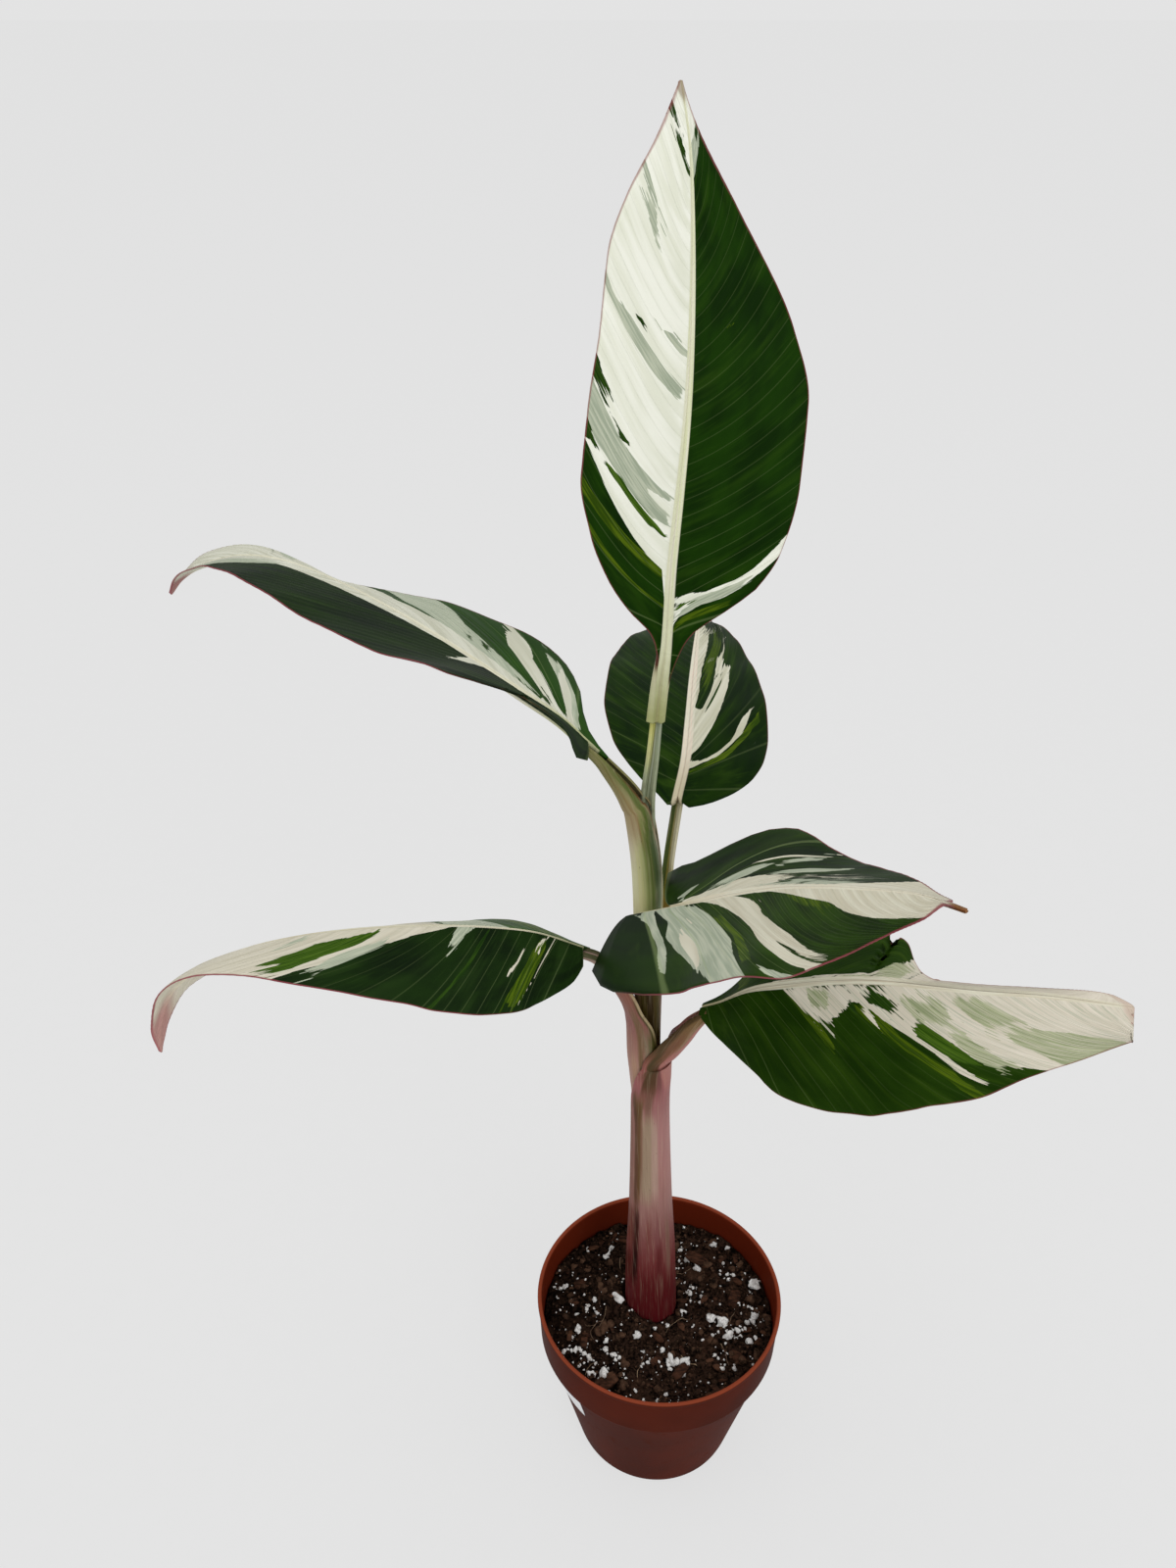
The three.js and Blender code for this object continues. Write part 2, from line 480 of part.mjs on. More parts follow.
// A sheath rolled round the stem that narrows into a channelled leafstalk, up to the blade
function makeStalk(leaf, swell = 0, filled = false) {
  const curve = midribOf(leaf);
  const start = frameAt(leaf, curve, 0);
  const back = radians(leaf.back);
  const outward = new THREE.Vector3(Math.cos(back), Math.sin(back), 0);
  const side = new THREE.Vector3().crossVectors(outward, new THREE.Vector3(0, 0, 1));
  const lean = STEM_TOP.clone().sub(STEM_FOOT).divideScalar(STEM_TOP.z - STEM_FOOT.z);
  const stations = leaf.sheath.map(([z, radius, wall, wrap]) => {
    const centre = STEM_FOOT.clone().addScaledVector(lean, z - STEM_FOOT.z);
    return { centre, radius, wall, wrap, turn: 0 };
  });
  // The stalk's channel ends just behind the blade, with its brim below the blade's underside
  const end = start.point.clone().addScaledVector(start.along, -FIT_GAP);
  end.addScaledVector(start.upward, -BRIM_DROP);
  const ends = [...toVectors(leaf.route), end];
  ends.forEach((centre, i) => {
    const [radius, wall, wrap] = leaf.petiole[i];
    stations.push({ centre, radius, wall, wrap, turn: (i + 1) / ends.length });
  });
  const path = new THREE.CatmullRomCurve3(stations.map((s) => s.centre), false, 'centripetal');
  const rings = [];
  const steps = (stations.length - 1) * 2;
  for (let k = 0; k <= steps; k++) {
    const place = k / 2;
    const i = Math.min(Math.floor(place), stations.length - 2);
    const f = place - i;
    const mix = (key) => stations[i][key] * (1 - f) + stations[i + 1][key] * f;
    const share = place / (stations.length - 1);
    const centre = path.getPoint(share);
    const along = k === steps ? start.along.clone() : path.getTangent(share);
    const across = side.clone().lerp(start.sideways, mix('turn'));
    across.addScaledVector(along, -across.dot(along)).normalize();
    const inward = new THREE.Vector3().crossVectors(across, along);
    const outer = mix('radius') + swell;
    const wrap = radians(mix('wrap')) + swell / outer;
    const step = (2 * wrap) / (SHEATH_SPAN - 1);
    const hollow = (mix('radius') - mix('wall')) / Math.cos(step / 2) - swell;
    const inner = filled ? 0.2 : Math.max(hollow, 0.2);
    const ring = [];
    for (let j = 0; j < SHEATH_SPAN; j++) {
      const angle = -wrap + step * j;
      ring.push(centre.clone().addScaledVector(inward, -outer * Math.cos(angle))
        .addScaledVector(across, outer * Math.sin(angle)));
    }
    for (let j = SHEATH_SPAN - 1; j >= 0; j--) {
      const angle = -wrap + step * j;
      ring.push(centre.clone().addScaledVector(inward, -inner * Math.cos(angle))
        .addScaledVector(across, inner * Math.sin(angle)));
    }
    rings.push(ring.reverse());
  }
  const skin = skinOf(rings);
  const pair = (j) => skin.count - 1 - j;
  for (let j = 0; j < SHEATH_SPAN - 1; j++) {
    skin.triangles.push(j, pair(j), j + 1, j + 1, pair(j), pair(j + 1));
    const e = skin.last;
    skin.triangles.push(e + j, e + j + 1, e + pair(j), e + j + 1, e + pair(j + 1), e + pair(j));
  }
  return bodyFrom(skin.positions, skin.triangles);
}

const plant = new THREE.Group();

function add(name, geometry, colour, roughness) {
  const material = new THREE.MeshStandardMaterial({ color: colour, roughness, metalness: 0 });
  const mesh = new THREE.Mesh(geometry, material);
  mesh.name = name;
  plant.add(mesh);
}

add('pot', makePot(), 0x7a3524, 0.55);
add('soil', makeSoil(), 0x2b1f18, 0.95);
add('corm', makeCorm(), 0xb9a888, 0.8);
// The outer sheaths make room for the ones inside them, and each blade for the end of its stalk
LEAVES.forEach((leaf, order) => {
  let stalk = solidFrom(makeStalk(leaf));
  for (const inner of LEAVES.slice(order + 1)) {
    stalk = largestOf(stalk.subtract(solidFrom(makeStalk(inner, NEST_GAP))));
  }
  const blade = solidFrom(makeBlade(leaf)).subtract(solidFrom(makeStalk(leaf, FIT_GAP, true)));
  add(`${leaf.name}_stalk`, geometryFrom(stalk), 0x8e4a56, 0.45);
  add(`${leaf.name}_blade`, geometryFrom(largestOf(blade)), 0x1f4a24, 0.4);
});

export default plant;
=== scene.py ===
import math
import random

import bmesh
import bpy
from mathutils import Euler, Matrix, Vector, noise


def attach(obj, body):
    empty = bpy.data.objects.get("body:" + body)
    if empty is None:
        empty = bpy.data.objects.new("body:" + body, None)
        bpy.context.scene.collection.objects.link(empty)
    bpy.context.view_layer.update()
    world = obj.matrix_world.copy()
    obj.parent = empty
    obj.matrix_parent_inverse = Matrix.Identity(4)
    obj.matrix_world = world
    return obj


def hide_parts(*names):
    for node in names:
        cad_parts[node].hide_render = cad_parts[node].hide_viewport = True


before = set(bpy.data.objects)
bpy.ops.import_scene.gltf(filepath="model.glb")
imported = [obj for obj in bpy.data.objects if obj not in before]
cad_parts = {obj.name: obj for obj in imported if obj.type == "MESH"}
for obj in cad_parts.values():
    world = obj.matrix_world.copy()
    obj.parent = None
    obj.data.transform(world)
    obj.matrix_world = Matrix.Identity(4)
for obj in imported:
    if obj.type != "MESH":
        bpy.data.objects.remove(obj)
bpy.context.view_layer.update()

MM = 0.001

# Studio
# The plant stands on a wide pale floor under soft light from above left and from the front right.
# The camera is close to the plant's top and looks down on it, as the photograph does.

CAMERA_PLACE = Vector((-30.7, -350.0, 558.5)) * MM
CAMERA_DIP = 31.7
CAMERA_LENS = 29.0

camera_data = bpy.data.cameras.new("camera")
camera_data.lens = CAMERA_LENS
camera_data.sensor_width = 36.0
camera_data.clip_start = 0.01
camera_data.clip_end = 200.0
camera = bpy.data.objects.new("camera", camera_data)
camera.location = CAMERA_PLACE
camera.rotation_euler = Euler((math.radians(90 - CAMERA_DIP), 0, 0))
bpy.context.collection.objects.link(camera)
scene = bpy.context.scene
scene.camera = camera
scene.view_settings.view_transform = "Standard"
scene.view_settings.look = "None"


class Value:
    """A number in a shader, so that sums of masks are written as plain arithmetic."""

    def __init__(self, finish, socket):
        self.finish = finish
        self.socket = socket

    def maths(self, operation, *others):
        return self.finish.node("Math", {"operation": operation}, *(self, *others))

    def __add__(self, other):
        return self.maths("ADD", other)

    def __radd__(self, other):
        return self.maths("ADD", other)

    def __sub__(self, other):
        return self.maths("SUBTRACT", other)

    def __rsub__(self, other):
        return self.finish.node("Math", {"operation": "SUBTRACT"}, other, self)

    def __mul__(self, other):
        return self.maths("MULTIPLY", other)

    def __rmul__(self, other):
        return self.maths("MULTIPLY", other)

    def step(self, low, high):
        """0 below low, 1 above high, smooth between."""
        settings = {"interpolation_type": "SMOOTHSTEP"}
        return self.finish.node("MapRange", settings, self, low, high, 0.0, 1.0)

    def part(self, name):
        return Value(self.finish, self.socket.node.outputs[name])


class Finish:
    """One material and its nodes. Most nodes come from the node method below, colour mixes from mix."""

    def __init__(self, name, **surface):
        self.material = bpy.data.materials.new(name)
        self.material.use_nodes = True
        self.tree = self.material.node_tree
        self.surface = self.tree.nodes["Principled BSDF"]
        for socket, value in surface.items():
            self.surface.inputs[socket.replace("_", " ")].default_value = value

    def node(self, kind, settings=None, *values, **named):
        node = self.tree.nodes.new("ShaderNode" + kind)
        for key, value in (settings or {}).items():
            setattr(node, key, value)
        pairs = list(zip(node.inputs, values))
        pairs += [(node.inputs[key.replace("_", " ")], value) for key, value in named.items()]
        for socket, value in pairs:
            if isinstance(value, Value):
                self.tree.links.new(value.socket, socket)
            elif value is not None:
                socket.default_value = value
        return Value(self, node.outputs[0])

    def mix(self, mask, low, high):
        """low where mask is 0 and high where it is 1. Either is a colour or a link."""
        node = self.tree.nodes.new("ShaderNodeMix")
        node.data_type = "RGBA"
        for socket, value in ((node.inputs[0], mask), (node.inputs[6], low), (node.inputs[7], high)):
            if isinstance(value, Value):
                self.tree.links.new(value.socket, socket)
            elif isinstance(value, (int, float)):
                socket.default_value = value
            else:
                socket.default_value = (*value, 1)
        return Value(self, node.outputs[2])

    def place(self):
        return self.node("TexCoord").part("Object")

    def noise(self, vector, scale, detail=3.0, rough=0.55):
        return self.node("TexNoise", {}, Vector=vector, Scale=scale, Detail=detail, Roughness=rough)

    def stretched(self, vector, scale):
        return self.node("Mapping", {}, Vector=vector, Scale=scale)

    def bump(self, height, distance):
        return self.node("Bump", {}, Distance=distance, Height=height)

    def ends(self, **links):
        for socket, value in links.items():
            self.tree.links.new(value.socket, self.surface.inputs[socket.replace("_", " ")])
        return self.material


def shade(red, green, blue):
    """A screen colour, 0 to 255, as the shader's linear one."""
    shares = [c / 255 for c in (red, green, blue)]
    return tuple(((c + 0.055) / 1.055) ** 2.4 if c > 10 / 255 else c / 12.92 for c in shares)


def make_object(name, bm, material, smooth=True):
    mesh = bpy.data.meshes.new(name)
    bm.to_mesh(mesh)
    bm.free()
    mesh.materials.append(material)
    mesh.polygons.foreach_set("use_smooth", [smooth] * len(mesh.polygons))
    thing = bpy.data.objects.new(name, mesh)
    bpy.context.collection.objects.link(thing)
    return thing


FLOOR_HALF = 60.0
FLOOR_GLOW = 0.66
WORLD_GLOW = 0.77
floor_finish = Finish("floor_paper", Roughness=1.0, Specular_IOR_Level=0.0, Emission_Strength=FLOOR_GLOW)
floor_finish.surface.inputs["Emission Color"].default_value = (1.0, 1.0, 1.0, 1)
floor_grain = floor_finish.noise(floor_finish.place(), 90.0)
floor_colour = floor_finish.mix(floor_grain, (0.12, 0.12, 0.12), (0.13, 0.13, 0.13))
floor_bm = bmesh.new()
bmesh.ops.create_grid(floor_bm, x_segments=2, y_segments=2, size=FLOOR_HALF)
floor = make_object("floor", floor_bm, floor_finish.ends(Base_Color=floor_colour))

world = bpy.data.worlds.new("studio")
world.use_nodes = True
world.node_tree.nodes["Background"].inputs["Color"].default_value = (1.0, 1.0, 1.0, 1)
world.node_tree.nodes["Background"].inputs["Strength"].default_value = WORLD_GLOW
scene.world = world


def soft_light(name, place, aim, size, power):
    lamp = bpy.data.lights.new(name, "AREA")
    lamp.shape = "DISK"
    lamp.size = size
    lamp.energy = power
    stand = bpy.data.objects.new(name, lamp)
    stand.location = Vector(place)
    stand.rotation_euler = (Vector(aim) - Vector(place)).to_track_quat("-Z", "Y").to_euler()
    bpy.context.collection.objects.link(stand)


soft_light("overhead_softbox", (-0.5, -0.4, 2.3), (0, 0, 0.3), 1.2, 6.0)
soft_light("front_softbox", (0.9, -1.7, 1.6), (0, 0, 0.25), 1.0, 9.0)

# Pot
# A thin injection-moulded polypropylene nursery pot in brick brown, four inches across.
# Its deep collar stiffens the rim, and the raised floor has drainage holes round a centre pad.

POT_HEIGHT = 84.0
RIM_RADIUS = 52.5
BASE_RADIUS = 35.0
POT_WALL = 1.4
COLLAR_DEPTH = 21.0
COLLAR_STEP = 1.6
COLLAR_TAPER = 1.2
WALL_TUCK = 1.6
FLOOR_LIFT = 2.2
PAD_RADIUS = 9.0
FOOT_WIDTH = 3.0
DRAIN_HOLES = 6
DRAIN_RADIUS = 4.0
DRAIN_CIRCLE = 23.0
POT_TURNS = 144
POT_CORNER = 0.9
EDGE_ANGLE = 50
WALL_SLOPE = (RIM_RADIUS - COLLAR_STEP - BASE_RADIUS - WALL_TUCK) / (POT_HEIGHT - COLLAR_DEPTH)


def wall_radius(z):
    return BASE_RADIUS + WALL_SLOPE * z


def rounded(points, corner):
    """The outline with each inner corner cut by a short arc of three points."""
    out = [points[0]]
    for before, here, after in zip(points, points[1:], points[2:]):
        back = Vector(before) - Vector(here)
        ahead = Vector(after) - Vector(here)
        reach = min(corner, back.length * 0.45, ahead.length * 0.45)
        start = Vector(here) + back.normalized() * reach
        end = Vector(here) + ahead.normalized() * reach
        out += [tuple(start), tuple((start + end) * 0.25 + Vector(here) * 0.5), tuple(end)]
    return out + [points[-1]]


top = POT_HEIGHT
collar_foot = top - COLLAR_DEPTH
collar_radius = RIM_RADIUS - COLLAR_TAPER
inner_rim = RIM_RADIUS - POT_WALL
pot_outline = [
    (0, 0), (PAD_RADIUS, 0), (PAD_RADIUS + 1.5, FLOOR_LIFT), (BASE_RADIUS - FOOT_WIDTH - 1, FLOOR_LIFT),
    (BASE_RADIUS - FOOT_WIDTH, 0), (BASE_RADIUS - 0.2, 0), (wall_radius(2), 2),
    (wall_radius(collar_foot - 1), collar_foot - 1), (collar_radius, collar_foot),
    (RIM_RADIUS - 0.5, top - 2.6), (RIM_RADIUS, top - 1.6), (RIM_RADIUS, top),
    (inner_rim - 0.2, top), (inner_rim - 0.6, top - 1.6), (collar_radius - POT_WALL, collar_foot + 1.8),
    (wall_radius(collar_foot) - POT_WALL, collar_foot - 1), (BASE_RADIUS - POT_WALL, FLOOR_LIFT + POT_WALL),
    (0, FLOOR_LIFT + POT_WALL),
]
pot_bm = bmesh.new()
pot_ring = [pot_bm.verts.new((r * MM, 0, z * MM)) for r, z in rounded(pot_outline, POT_CORNER)]
pot_edges = [pot_bm.edges.new(pair) for pair in zip(pot_ring, pot_ring[1:])]
bmesh.ops.spin(
    pot_bm, geom=pot_ring + pot_edges, cent=(0, 0, 0), axis=(0, 0, 1), angle=2 * math.pi,
    steps=POT_TURNS, use_merge=True, use_duplicate=False,
)
bmesh.ops.remove_doubles(pot_bm, verts=pot_bm.verts, dist=0.02 * MM)
bmesh.ops.recalc_face_normals(pot_bm, faces=pot_bm.faces)

pot_finish = Finish("pot_plastic", Specular_IOR_Level=0.01)
pot_place = pot_finish.place()
pot_cloud = pot_finish.noise(pot_place, 26.0, 4.0)
pot_grain = pot_finish.noise(pot_place, 900.0, 2.0)
pot_parts = pot_finish.node("SeparateXYZ", {}, pot_place)
pot_height_value = pot_parts.part("Z")
pot_reach = pot_finish.node("VectorMath", {"operation": "LENGTH"}, pot_finish.stretched(pot_place, (1, 1, 0)))
pot_reach = pot_reach.part("Value")
# Painted light: inside the pot above the collar foot the wall gets a lighter, redder copy of the same
# plastic, standing for the light falling on it.
lit_inner_wall = 1 - (pot_reach - pot_height_value * (COLLAR_TAPER / COLLAR_DEPTH)).step(0.0459, 0.0466)
above_collar = pot_height_value.step((collar_foot + 1) * MM, (collar_foot + 4) * MM)
# Painted highlight: the top of the rim is painted a lighter brown where the light catches it.
rim_highlight = pot_height_value.step((top - 0.9) * MM, (top - 0.2) * MM)
pot_colour = pot_finish.mix(pot_cloud.step(0.35, 0.7), shade(66, 25, 15), shade(80, 31, 19))
pot_colour = pot_finish.mix(lit_inner_wall * above_collar * 0.8, pot_colour, shade(104, 36, 17))
pot_colour = pot_finish.mix(rim_highlight * 0.75, pot_colour, shade(150, 72, 48))
dust = pot_finish.noise(pot_place, 140.0, 5.0).step(0.58, 0.75)
pot_colour = pot_finish.mix(dust * 0.07, pot_colour, shade(124, 80, 64))
pot_sheen = 0.46 + pot_cloud * 0.14 + dust * 0.15
pot_relief = pot_finish.bump(pot_grain + pot_cloud * 2, 0.00004)
pot_material = pot_finish.ends(Base_Color=pot_colour, Roughness=pot_sheen, Normal=pot_relief)
pot = make_object("moulded_pot", pot_bm, pot_material)

drill_bm = bmesh.new()
for number in range(DRAIN_HOLES):
    turn = 2 * math.pi * number / DRAIN_HOLES
    at = Matrix.Translation(Vector((math.cos(turn), math.sin(turn), 0)) * DRAIN_CIRCLE * MM)
    bmesh.ops.create_cone(
        drill_bm, cap_ends=True, segments=32, radius1=DRAIN_RADIUS * MM, radius2=DRAIN_RADIUS * MM,
        depth=16 * MM, matrix=at,
    )
drill = make_object("drain_drill", drill_bm, pot_material)
cut = pot.modifiers.new("drain_holes", "BOOLEAN")
cut.operation = "DIFFERENCE"
cut.object = drill
bpy.context.view_layer.update()
drilled = bpy.data.meshes.new_from_object(pot.evaluated_get(bpy.context.evaluated_depsgraph_get()))
pot.modifiers.remove(cut)
pot.data = drilled
bpy.data.objects.remove(drill)
for face in pot.data.polygons:
    face.use_smooth = True
smoother = pot.modifiers.new("edge_split", "EDGE_SPLIT")
smoother.split_angle = math.radians(EDGE_ANGLE)
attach(pot, "root")
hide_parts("pot")

# Sticker
# A small blank white paper label on the left of the pot, just under the collar, bent round its wall.

STICKER_TURN = math.radians(216)
STICKER_WIDTH = 14.0
STICKER_LOW = 44.0
STICKER_HIGH = 58.0
PAPER = 0.12

sticker_bm = bmesh.new()
bmesh.ops.create_grid(sticker_bm, x_segments=16, y_segments=8, size=0.5)
for vert in sticker_bm.verts:
    z = STICKER_LOW + (vert.co.y + 0.5) * (STICKER_HIGH - STICKER_LOW)
    radius = wall_radius(z) + PAPER + 0.25 * max(0, vert.co.y - 0.4) * (0.5 + vert.co.x)
    turn = STICKER_TURN + vert.co.x * STICKER_WIDTH / radius
    vert.co = Vector((radius * math.cos(turn), radius * math.sin(turn), z)) * MM
sticker_finish = Finish("label_paper", Roughness=0.5)
sticker_tone = sticker_finish.noise(sticker_finish.place(), 300.0)
sticker_colour = sticker_finish.mix(sticker_tone, shade(222, 222, 224), shade(236, 236, 238))
sticker = make_object("blank_label", sticker_bm, sticker_finish.ends(Base_Color=sticker_colour))
paper = sticker.modifiers.new("paper", "SOLIDIFY")
paper.thickness = PAPER * MM
paper.offset = 0
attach(sticker, "root")

# Soil
# A dark, moist mix of peat and composted bark with white perlite, filled to 14 mm under the rim.
# Its lumps and the heap left of the stem are in the mesh. Perlite, crumbs, bark and fibres lie on it.
# SOIL_HEAPS: a height, the place of the top and how far it spreads.

SOIL_TOP = 70.0
SOIL_LUMP = 1.6
SOIL_HEAPS = [(8.0, -19.0, 5.0, 98.0), (5.0, -11.0, -6.0, 32.0)]
FIT_GAP = 0.3
STEM_FOOT = Vector((-3.3, 7.0, 62.0))
STEM_TOP = Vector((-10.6, 7.0, 326.0))
STEM_HOLE = 12.6
CORM_HEIGHT = 17.0
SOIL_RINGS = 92
SOIL_TURNS = 300


def soil_height(x, y):
    """The soil's surface in millimetres, from its broad lumps down to its crumbs."""
    lump = math.sin(0.31 * x + 1.3) * math.cos(0.27 * y - 0.4) + 0.7 * math.sin(0.62 * y + 0.5 * x)
    lump += 0.5 * math.cos(0.9 * x - 0.4 * y + 2)
    crumbs = noise.fractal(Vector((x * 0.22, y * 0.22, 3.0)), 0.9, 2.1, 4)
    cells = noise.voronoi(Vector((x * 0.42, y * 0.42, 1.0)))[0][0]
    small = noise.voronoi(Vector((x * 1.1, y * 1.1, 5.0)))[0][0]
    grains = crumbs + 1.5 * (0.45 - cells) + 0.6 * (0.4 - small)
    heap = 0.0
    for rise, centre_x, centre_y, spread in SOIL_HEAPS:
        heap += rise * math.exp(-((x - centre_x) ** 2 + (y - centre_y) ** 2) / spread)
    return SOIL_TOP + SOIL_LUMP * 0.45 * lump + grains + heap


def soil_outline():
    """(share of the surface, radius, height) down the hole's wall, over the top and round the underside."""
    floor_z = FLOOR_LIFT + POT_WALL + FIT_GAP
    pit = STEM_FOOT.z - CORM_HEIGHT - 2 * FIT_GAP
    brim = collar_radius - POT_WALL - FIT_GAP - 0.3
    rows = [(1, 0.01, pit), (1, STEM_HOLE, pit), (1, STEM_HOLE, 66.0)]
    for number in range(SOIL_RINGS):
        share = number / (SOIL_RINGS - 1)
        rows.append((1 - share, STEM_HOLE + (brim - STEM_HOLE) * share, None))
    under = collar_foot - 2
    rows += [(0, brim, collar_foot + 3), (0, wall_radius(under) - POT_WALL - 0.5, under)]
    rows += [(0, wall_radius(floor_z + 2) - POT_WALL - 0.6, floor_z + 2)]
    return rows + [(0, wall_radius(floor_z) - POT_WALL - 1.6, floor_z), (0, 0.01, floor_z)]


soil_rows = soil_outline()
soil_bm = bmesh.new()
bmesh.ops.create_grid(soil_bm, x_segments=len(soil_rows) - 1, y_segments=SOIL_TURNS, size=0.5)
for vert in soil_bm.verts:
    share, radius, z = soil_rows[round((vert.co.x + 0.5) * (len(soil_rows) - 1))]
    turn = 2 * math.pi * round((vert.co.y + 0.5) * SOIL_TURNS) / SOIL_TURNS
    x = STEM_FOOT.x * share + radius * math.cos(turn)
    y = STEM_FOOT.y * share + radius * math.sin(turn)
    vert.co = Vector((x, y, soil_height(x, y) if z is None else z)) * MM
bmesh.ops.remove_doubles(soil_bm, verts=soil_bm.verts, dist=0.03 * MM)
bmesh.ops.recalc_face_normals(soil_bm, faces=soil_bm.faces)


def soil_material():
    earth = Finish("potting_mix", Specular_IOR_Level=0.01)
    at = earth.place()
    crumbs = earth.noise(at, 520.0, 7.0, 0.75)
    patches = earth.noise(at, 90.0, 4.0)
    grit = earth.node("TexVoronoi", {}, Vector=at, Scale=900.0)
    colour = earth.mix(crumbs.step(0.4, 0.62), shade(7, 5, 4), shade(60, 43, 34))
    colour = earth.mix(patches.step(0.52, 0.7) * 0.45, colour, shade(78, 54, 41))
    bright = (1 - grit.step(0.08, 0.2)) * crumbs.step(0.5, 0.62)
    colour = earth.mix(bright * 0.55, colour, shade(128, 106, 86))
    # Painted shade: the left half of the soil is darkened, as in the shadow of the collar.
    left_shade = 1 - earth.node("SeparateXYZ", {}, at).part("X").step(-0.045, 0.0)
    colour = earth.mix(left_shade * 0.5, colour, shade(5, 4, 3))
    relief = earth.bump(crumbs + grit * 0.5, 0.0006)
    return earth.ends(Base_Color=colour, Roughness=0.72 + crumbs * 0.35, Normal=relief)


soil_finish = soil_material()
soil = make_object("potting_soil", soil_bm, soil_finish)
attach(soil, "root")
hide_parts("soil")


def soil_spots(count, low, high, rng):
    """Places on the soil between two distances from the stem's foot, evenly spread by area."""
    spots = []
    while len(spots) < count:
        x = rng.uniform(-49, 49)
        y = rng.uniform(-49, 49)
        from_stem = math.hypot(x - STEM_FOOT.x, y - STEM_FOOT.y)
        if from_stem > low and math.hypot(x, y) < high:
            spots.append((x, y))
    return spots


def lumps_at(bm, spots, sizes, rng, flat=1.0, detail=2, rough=0.35, sink=0.3):
    """Irregular grains, each a faceted ball pushed in and out by noise and half sunk in the soil."""
    for x, y in spots:
        size = rng.choice(sizes) * rng.uniform(0.75, 1.25)
        made = bmesh.ops.create_icosphere(bm, subdivisions=detail, radius=size * 0.5)
        seed = Vector((rng.uniform(0, 90), rng.uniform(0, 90), rng.uniform(0, 90)))
        turned = Euler((rng.uniform(-0.5, 0.5), rng.uniform(-0.5, 0.5), rng.uniform(0, 6.3))).to_matrix()
        stretch = Vector((rng.uniform(0.8, 1.3), rng.uniform(0.75, 1.1), flat * rng.uniform(0.7, 1.0)))
        for vert in made["verts"]:
            swell = 1 + rough * noise.noise(vert.co / size * 2.2 + seed)
            shaped = Vector([a * b for a, b in zip(vert.co, stretch)]) * swell
            vert.co = (turned @ shaped + Vector((x, y, soil_height(x, y) + size * flat * (0.5 - sink)))) * MM


perlite_rng = random.Random(11)
perlite_bm = bmesh.new()
clustered = []
for x, y in soil_spots(16, 15, 46, perlite_rng):
    for _ in range(13):
        grain_x = x + perlite_rng.gauss(0, 2.6)
        grain_y = y + perlite_rng.gauss(0, 2.6)
        if math.hypot(grain_x, grain_y) < 48:
            clustered.append((grain_x, grain_y))
lumps_at(perlite_bm, clustered, (0.5, 0.8, 1.2, 1.7), perlite_rng, rough=1.0)
lumps_at(perlite_bm, soil_spots(260, 13, 48.5, perlite_rng), (0.35, 0.5, 0.8, 1.1), perlite_rng, 1.0, 1, 0.6)
lumps_at(perlite_bm, soil_spots(44, 13.5, 48, perlite_rng), (1.7, 2.2, 2.7), perlite_rng, rough=1.1)
lumps_at(perlite_bm, soil_spots(14, 14, 47, perlite_rng), (3.0, 3.8), perlite_rng, 1.0, 3, 1.1)
perlite_finish = Finish("perlite_grain", Roughness=0.9)
perlite_at = perlite_finish.place()
perlite_pores = perlite_finish.noise(perlite_at, 1500.0, 4.0)
perlite_dirt = perlite_finish.noise(perlite_at, 260.0, 3.0).step(0.5, 0.72)
perlite_colour = perlite_finish.mix(perlite_pores.step(0.3, 0.65), shade(206, 204, 200), shade(246, 245, 243))
perlite_colour = perlite_finish.mix(perlite_dirt * 0.5, perlite_colour, shade(128, 112, 98))
perlite_relief = perlite_finish.bump(perlite_pores, 0.0002)
perlite_material = perlite_finish.ends(Base_Color=perlite_colour, Normal=perlite_relief)
perlite = make_object("perlite_grains", perlite_bm, perlite_material)
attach(perlite, "root")

crumb_rng = random.Random(4)
crumb_bm = bmesh.new()
lumps_at(crumb_bm, soil_spots(900, 13, 49, crumb_rng), (0.6, 1.0, 1.5), crumb_rng, 0.9, 1, 0.7, 0.25)
lumps_at(crumb_bm, soil_spots(110, 13.5, 48, crumb_rng), (2.4, 3.2, 4.2), crumb_rng, 0.7, 2, 0.7, 0.3)
crumb_finish = Finish("mix_crumb", Specular_IOR_Level=0.02, Roughness=0.9)
crumb_at = crumb_finish.place()
crumb_tone = crumb_finish.noise(crumb_at, 190.0, 3.0)
crumb_grain = crumb_finish.noise(crumb_at, 900.0, 4.0)
crumb_colour = crumb_finish.mix(crumb_tone.step(0.38, 0.64), shade(20, 13, 10), shade(80, 58, 45))
crumb_colour = crumb_finish.mix(crumb_grain.step(0.46, 0.7) * 0.5, crumb_colour, shade(104, 80, 62))
crumb_material = crumb_finish.ends(Base_Color=crumb_colour, Normal=crumb_finish.bump(crumb_grain, 0.0004))
crumbs = make_object("soil_crumbs", crumb_bm, crumb_material)
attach(crumbs, "root")

# Bark chips
# Split slivers of conifer bark, torn at their ends, lying flat or tipped in the soil.
# BARK_PLACES: the large ones by place across the pot, length, width and heading. The rest are strewn.

BARK_PLACES = [
    (-24.0, -35.0, 12.0, 6.0, 35.0), (24.0, -39.5, 13.5, 5.0, 8.0), (19.0, 26.0, 11.0, 6.0, -30.0),
    (34.0, 6.0, 9.0, 5.0, 70.0), (-33.0, 14.0, 8.0, 4.5, 20.0), (-12.0, 37.0, 9.0, 4.0, -15.0),
    (8.0, -29.0, 8.0, 4.0, 50.0), (-38.0, -12.0, 7.0, 4.0, 80.0), (33.0, -22.0, 8.0, 4.5, -40.0),
]


